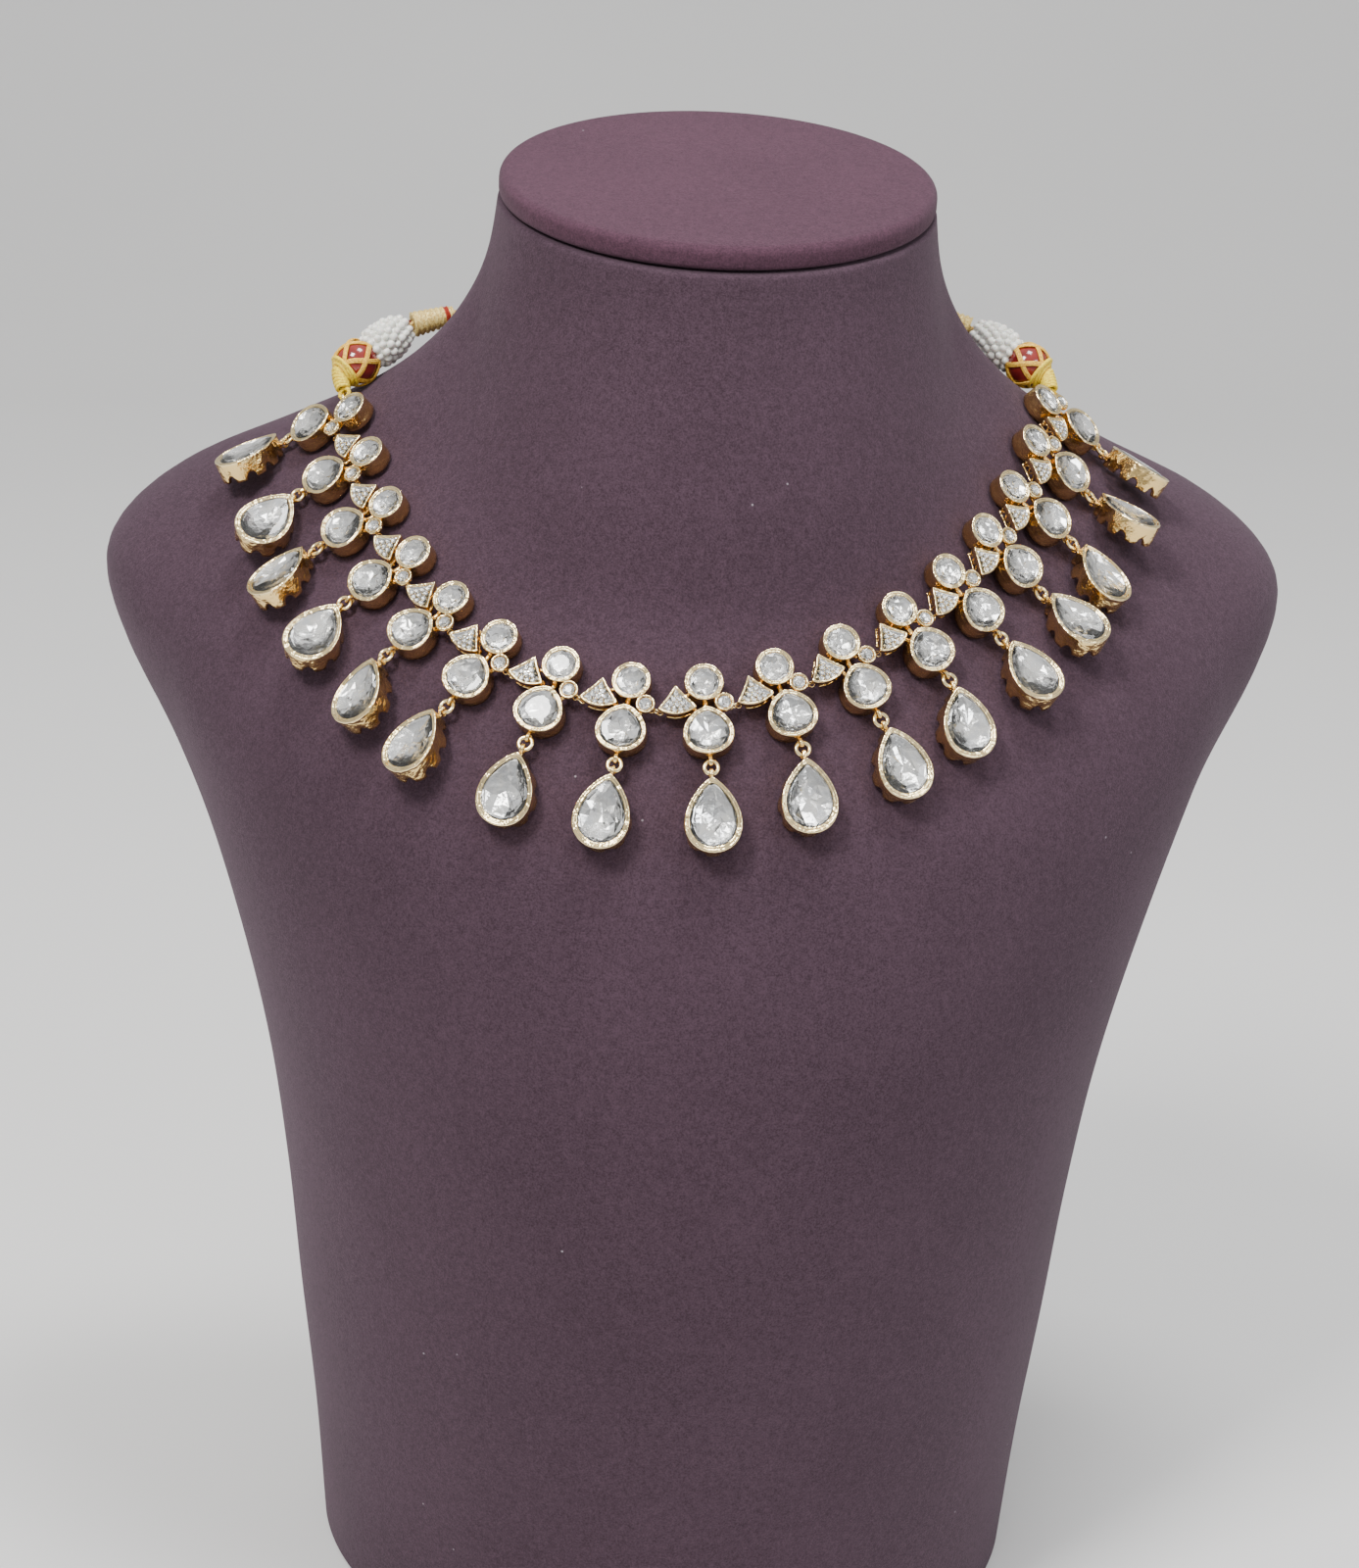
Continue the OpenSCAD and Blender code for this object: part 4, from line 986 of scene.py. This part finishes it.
def set_all(name, node, wanted, frames, at=(0, 0, 0)):
    """Cuts one stone for each frame and makes them one piece."""
    stones = [moved(shifted(wanted(), at), *frame[:2]) for frame in frames]
    return make(name, joined(stones), [clear_stone, foil], [node])


set_all("round_stones", "upper_stones",
        lambda: in_cup(upper_w, upper_w, 0, cup_wall, upper_high, 9), seats, upper_at)
set_all("egg_stones", "lower_stones",
        lambda: in_cup(lower_w, lower_h, lower_blunt, cup_wall, lower_high, 11), seats, lower_at)
set_all("pear_drop_stones", "pear_stones",
        lambda: in_cup(drop_w, drop_h, drop_blunt, drop_wall, drop_high, 12, drop_pull, 0.85), hangs)
collet_d, small_d = 2.48, 1.06
set_all("collet_small_stones", "collet_stones",
        lambda: cut_stone(collet_d, collet_d, 0, collet_high - 0.28, collet_high - 0.15,
                          collet_high + 0.24, 7, 0.3), seats, collet_at)
small = [shifted(cut_stone(small_d, small_d, 0, fan_high - 0.3, fan_high - 0.2, fan_high + 0.06, 5, 0.1),
                 [x, y, 0]) for x, y in pave_at]
plates = [moved(joined(small), *seat) for seat in seats[1:]]
pave = make("fan_small_stones", joined(plates), [clear_stone, foil])
print("small stones", len(pave.data.polygons), "faces")

# %% [markdown]
# The rings are bent from round wire. Each lies where the CAD has its ring: the middle is the mean
# of that ring's corners, and its axis is the direction in which the corners spread least.

# %% Rings
def ring_like(points, thick):
    """A smooth hoop through the middle of a CAD ring's corners."""
    middle = points.mean(0)
    off = points - middle
    axis = np.linalg.eigh(off.T @ off)[1][:, 0]
    away = np.linalg.norm(off - (off @ axis)[:, None] * axis, axis=1)
    # Tone 0.7 paints the wire mostly in the rim's painted highlight colour.
    return hoop(middle, axis, (away.max() + away.min()) / 2, thick, 1.0, 36, 10, 0.7)


for name, node, thick in (("link_ring_wires", "link_rings", 0.17),
                          ("drop_ring_wires", "drop_rings", 0.43),
                          ("left_end_ring_wire", "left_end_ring", 0.3),
                          ("right_end_ring_wire", "right_end_ring", 0.3)):
    wires = [ring_like(q, thick) for q in solids(node)[0]]
    make(name, joined(wires), [ring_gold], [node])
    print(name, len(wires))

# %% [markdown]
# Each end has a dark red bead netted with gold thread, a barrel woven from seed pearls, and a
# cone wound with gold thread that runs into the cord. A thick loop of yellow thread ties the bead
# to the end ring. The middles of bead and barrel give the axis, and every piece is turned about
# it.

# %% Axes of the end pieces
def mid(name):
    """Middle of a node's box, in millimetres."""
    low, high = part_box(name)
    return (np.array(low) + np.array(high)) / 2 / MM


def about_axis(along, hint):
    """A turn whose rows are: across, across, along, for pieces drawn about their own upright."""
    z = unit(np.asarray(along, float))
    x = unit(hint - (hint @ z) * z)
    return np.stack([x, np.cross(z, x), z])


ball_r, bore = 4.5, 1.2


def end_axes(side):
    """Bead middle, its axis, and the cone's start and axis, all from the CAD's solids."""
    bead = mid(side + "_ball")
    way = unit(solids(side + "_barrel")[1].mean(0) - bead)
    cone = solids(side + "_cone")[1]
    off = cone - cone.mean(0)
    main = np.linalg.eigh(off.T @ off)[1][:, 2]
    main = main * np.sign(main @ way)
    reach = off @ main
    return bead, way, cone[reach < reach.min() + 0.05].mean(0), main


# %% The netted bead
def netted(bead, turn):
    """A bored sphere: the profile runs round outside and back through the bore. Threads cross it
    in two slanting families of five, three threads side by side, and lie a little proud of it."""
    t = np.linspace(np.arcsin(bore / ball_r), np.pi - np.arcsin(bore / ball_r), 34)
    section = np.concatenate([np.stack([ball_r * np.sin(t), ball_r * np.cos(t)], 1),
                              [[bore, -2], [bore, 0], [bore, 2]]])
    bored = moved(sheet(spun(section, 56), ring=True), turn, bead)
    threads = []
    span = np.radians(np.linspace(-68, 68, 40))
    for lean in (-1, 1):
        for k in range(5):
            for beside in (-1, 0, 1):
                a = k * 2 * np.pi / 5 + lean * span * 0.75 + beside * 0.085 / np.cos(span * 0.8)
                r = ball_r + (0.16 if lean > 0 else 0.3) + (0.05 if beside == 0 else 0)
                flat = r * np.cos(span)
                path = np.stack([flat * np.cos(a), flat * np.sin(a), r * np.sin(span)], 1)
                threads.append(tube(path @ turn + bead, 0.22, 6, turn[0] + turn[1] * 0.2, tone=0.2))
    return bored, joined(threads)


# %% The pearl barrel
def pearl_barrel(start, turn):
    """Rows of round pearls on a swelling core; each row is turned half a pearl against the one
    before."""
    long, pearl_r = 10.8, 0.86
    s, fine = np.linspace(0, 1, 7), np.linspace(0, 1, 15)
    swell = np.interp(s, [0, 0.12, 0.3, 0.65, 0.9, 1], [3.95, 4.5, 4.8, 4.55, 3.75, 3.3]) - 0.8
    core = np.stack([np.interp(fine, s, swell) - 0.1, 0.5 + fine * (long - 0.9)], 1)
    t = np.linspace(0.35, np.pi - 0.35, 5)
    ball = np.stack([pearl_r * np.sin(t), pearl_r * np.cos(t)], 1)
    pearls = []
    for row, r in enumerate(swell):
        z = pearl_r + s[row] * (long - 2 * pearl_r)
        count = int(2 * np.pi * r / (1.94 * pearl_r))
        for a in (np.arange(count) + 0.5 * (row % 2)) * 2 * np.pi / count:
            size = min(1 + 0.07 * chance.normal(), 1.1)
            pearls.append(turned([r * np.cos(a), r * np.sin(a), z], ball * size, 9))
    rows = np.concatenate([core, core[::-1] * [0, 1] + [bore + 0.1, 0]])
    return moved(joined(pearls + [sheet(spun(rows, 40), ring=True)]), turn, start)


# %% The wound cone and the tie
def wound_cone(start, turn):
    """Radius along the cone plus a ridge that climbs one turn in 1.15 mm; a red band near the
    tip."""
    long, pitch, steps = 9.0, 1.15, 36
    s, a = np.linspace(0, 1, 150), around(steps)
    base = np.interp(s, [0, 0.22, 0.78, 1], [2.5, 2.35, 2.0, 1.62])
    climb = s[:, None] * long / pitch - a[None] / (2 * np.pi)
    strand = 0.08 * np.cos(3 * (a[None] * 3 + s[:, None] * 40))
    r = base[:, None] - 0.18 + (0.4 + strand) * np.abs(np.cos(np.pi * climb)) ** 0.8
    r[0], r[-1] = base[0] - 0.2, base[-1] - 0.2
    z = np.repeat(s[:, None] * long, steps, 1)
    outer = np.stack([r * np.cos(a), r * np.sin(a), z], -1)
    inner = np.stack([bore * np.cos(a), bore * np.sin(a), 0 * a], -1)
    inner = inner[None] + [[[0, 0, long]], [[0, 0, 0]]]
    tone = np.concatenate([np.where((s > 0.76) & (s < 0.88), 1.0, 0.0), [0, 0]])
    return moved(sheet(np.concatenate([outer, inner]), tone, ring=True), turn, start)


def tie_of(ring_mid, bead, way, out):
    """A closed loop of twisted thread through the end ring, wound turns that narrow from the bead
    to it, and a few slack turns over the near end of the bead."""
    over_r, loop_r, loop_dip = ball_r + 0.3, 1.1, 0.82
    far = bead - over_r * way
    line = unit(far - ring_mid)
    near = ring_mid + 1.15 * line
    out = unit(out - (out @ line) * line)
    a = around(40)[:, None]
    centre = near + (loop_r - loop_dip) * line
    loop = centre + loop_r * (np.cos(a) * line + np.sin(a) * np.cross(out, line))
    parts = [rope(loop, 0.44, 3, 1.7, out, True)]
    neck = 2 * loop_r - loop_dip
    long = np.linalg.norm(far - near) - neck
    turns = max(2, int(long / 0.55))
    for s in (np.arange(turns) + 0.5) / turns:
        middle = near + (neck + s * long) * line
        parts.append(hoop(middle, unit(line * (1 - s) + way * s), 1.15 + 0.75 * s, 0.42, 1.0, 24))
    for k, polar in enumerate(np.radians([21, 30, 39, 48])):
        tilt = unit(way + 0.12 * np.cos(2.1 * k) * out)
        middle = bead - over_r * np.cos(polar) * way
        parts.append(hoop(middle, tilt, over_r * np.sin(polar), 0.4, 1.0, 40))
    return joined(parts)


# %% Both ends
outward = {"left": seats[0][0][2], "right": seats[-1][0][2]}
for side in ("left", "right"):
    bead, way, foot, cone_way = end_axes(side)
    turn = about_axis(way, outward[side])
    bored, net = netted(bead, turn)
    make(side + "_red_bead", bored, [red_bead], [side + "_ball"])
    make(side + "_bead_net", net, [net_thread])
    make(side + "_pearl_barrel", pearl_barrel(bead + (ball_r - 1.4) * way, turn), [seed_pearl],
         [side + "_barrel"])
    make(side + "_wound_cone", wound_cone(foot, about_axis(cone_way, outward[side])), [wound_thread],
         [side + "_cone"])
    tie = tie_of(mid(side + "_end_ring"), bead, way, outward[side])
    make(side + "_thread_tie", tie, [yellow_thread], [side + "_tie"])
    print(side, "bead at", bead.round(1), "cone from", foot.round(1))

# %% [markdown]
# The studio is a pale floor that sweeps up behind, so no horizon crosses the picture, lit by
# three soft lamps: a key high on the left, a weaker and larger fill from the right, and one
# almost straight above, which lays bright lines on the rims. The sky is pale above and darker
# below, so polished metal shows both light and shade.

# %% Floor
below, sweep_from, sweep_r = 0.0005, 1.2, 0.9
sweep = np.linspace(0, np.pi / 2, 14)
curve = np.stack([sweep_from + sweep_r * np.sin(sweep), sweep_r - sweep_r * np.cos(sweep) - below], 1)
line = np.concatenate([[[-2.5, -below]], curve, [[2.1, 3.5]]])
across = np.array([-3.5, 3.5])
corners = np.stack([np.repeat(across[None], len(line), 0), np.repeat(line[:, :1], 2, 1),
                    np.repeat(line[:, 1:], 2, 1)], -1)
k = np.arange(len(line) - 1) * 2
floor_mesh = bpy.data.meshes.new("studio_floor")
strips = np.stack([k, k + 1, k + 3, k + 2], 1)
floor_mesh.from_pydata(corners.reshape(-1, 3).tolist(), [], strips.tolist())
floor_mesh.polygons.foreach_set("use_smooth", np.ones(len(k), bool))
paper, tree, shader = blank("pale_paper", {"Roughness": 0.9})
cloud = noise(tree, own_place(tree), 3.0, 3.0)
tree.links.new(blended(tree, cloud, (0.74, 0.735, 0.73, 1), (0.8, 0.795, 0.79, 1)),
               shader.inputs["Base Color"])
floor_mesh.materials.append(paper)
linked("studio_floor", floor_mesh)

# %% Lamps and sky
def lamp(name, at, size, power, colour=(1, 1, 1)):
    """A square soft lamp that faces the middle of the necklace."""
    data = bpy.data.lights.new(name, "AREA")
    data.size, data.energy, data.color = size, power, colour
    z = unit(np.array(at) - [0, -0.04, 0.21])
    x = unit(np.cross([0, 0, 1.0], z))
    linked(name, data).matrix_world = pose_of(x, np.cross(z, x), z, at)


lamp("key_lamp", [-0.45, -0.6, 1.12], 0.3, 14.5, (1.0, 0.985, 0.96))
lamp("fill_lamp", [0.85, -0.8, 0.8], 0.45, 5.0, (0.96, 0.98, 1.0))
lamp("top_lamp", [0.15, -0.1, 1.25], 0.3, 8.0)
world = bpy.data.worlds.new("studio_sky")
world.use_nodes = True
sky = world.node_tree
toward = wire(sky, "ShaderNodeTexCoord").outputs["Generated"]
way_up = wire(sky, "ShaderNodeSeparateXYZ", {0: toward}).outputs[2]
bands = blended(sky, spread(sky, way_up, -0.1, 0.75), (0.3, 0.305, 0.32, 1), (1.05, 1.05, 1.05, 1))
sky.links.new(bands, sky.nodes["Background"].inputs[0])
sky.nodes["Background"].inputs[1].default_value = 0.9
bpy.context.scene.world = world

# %% The end
import json
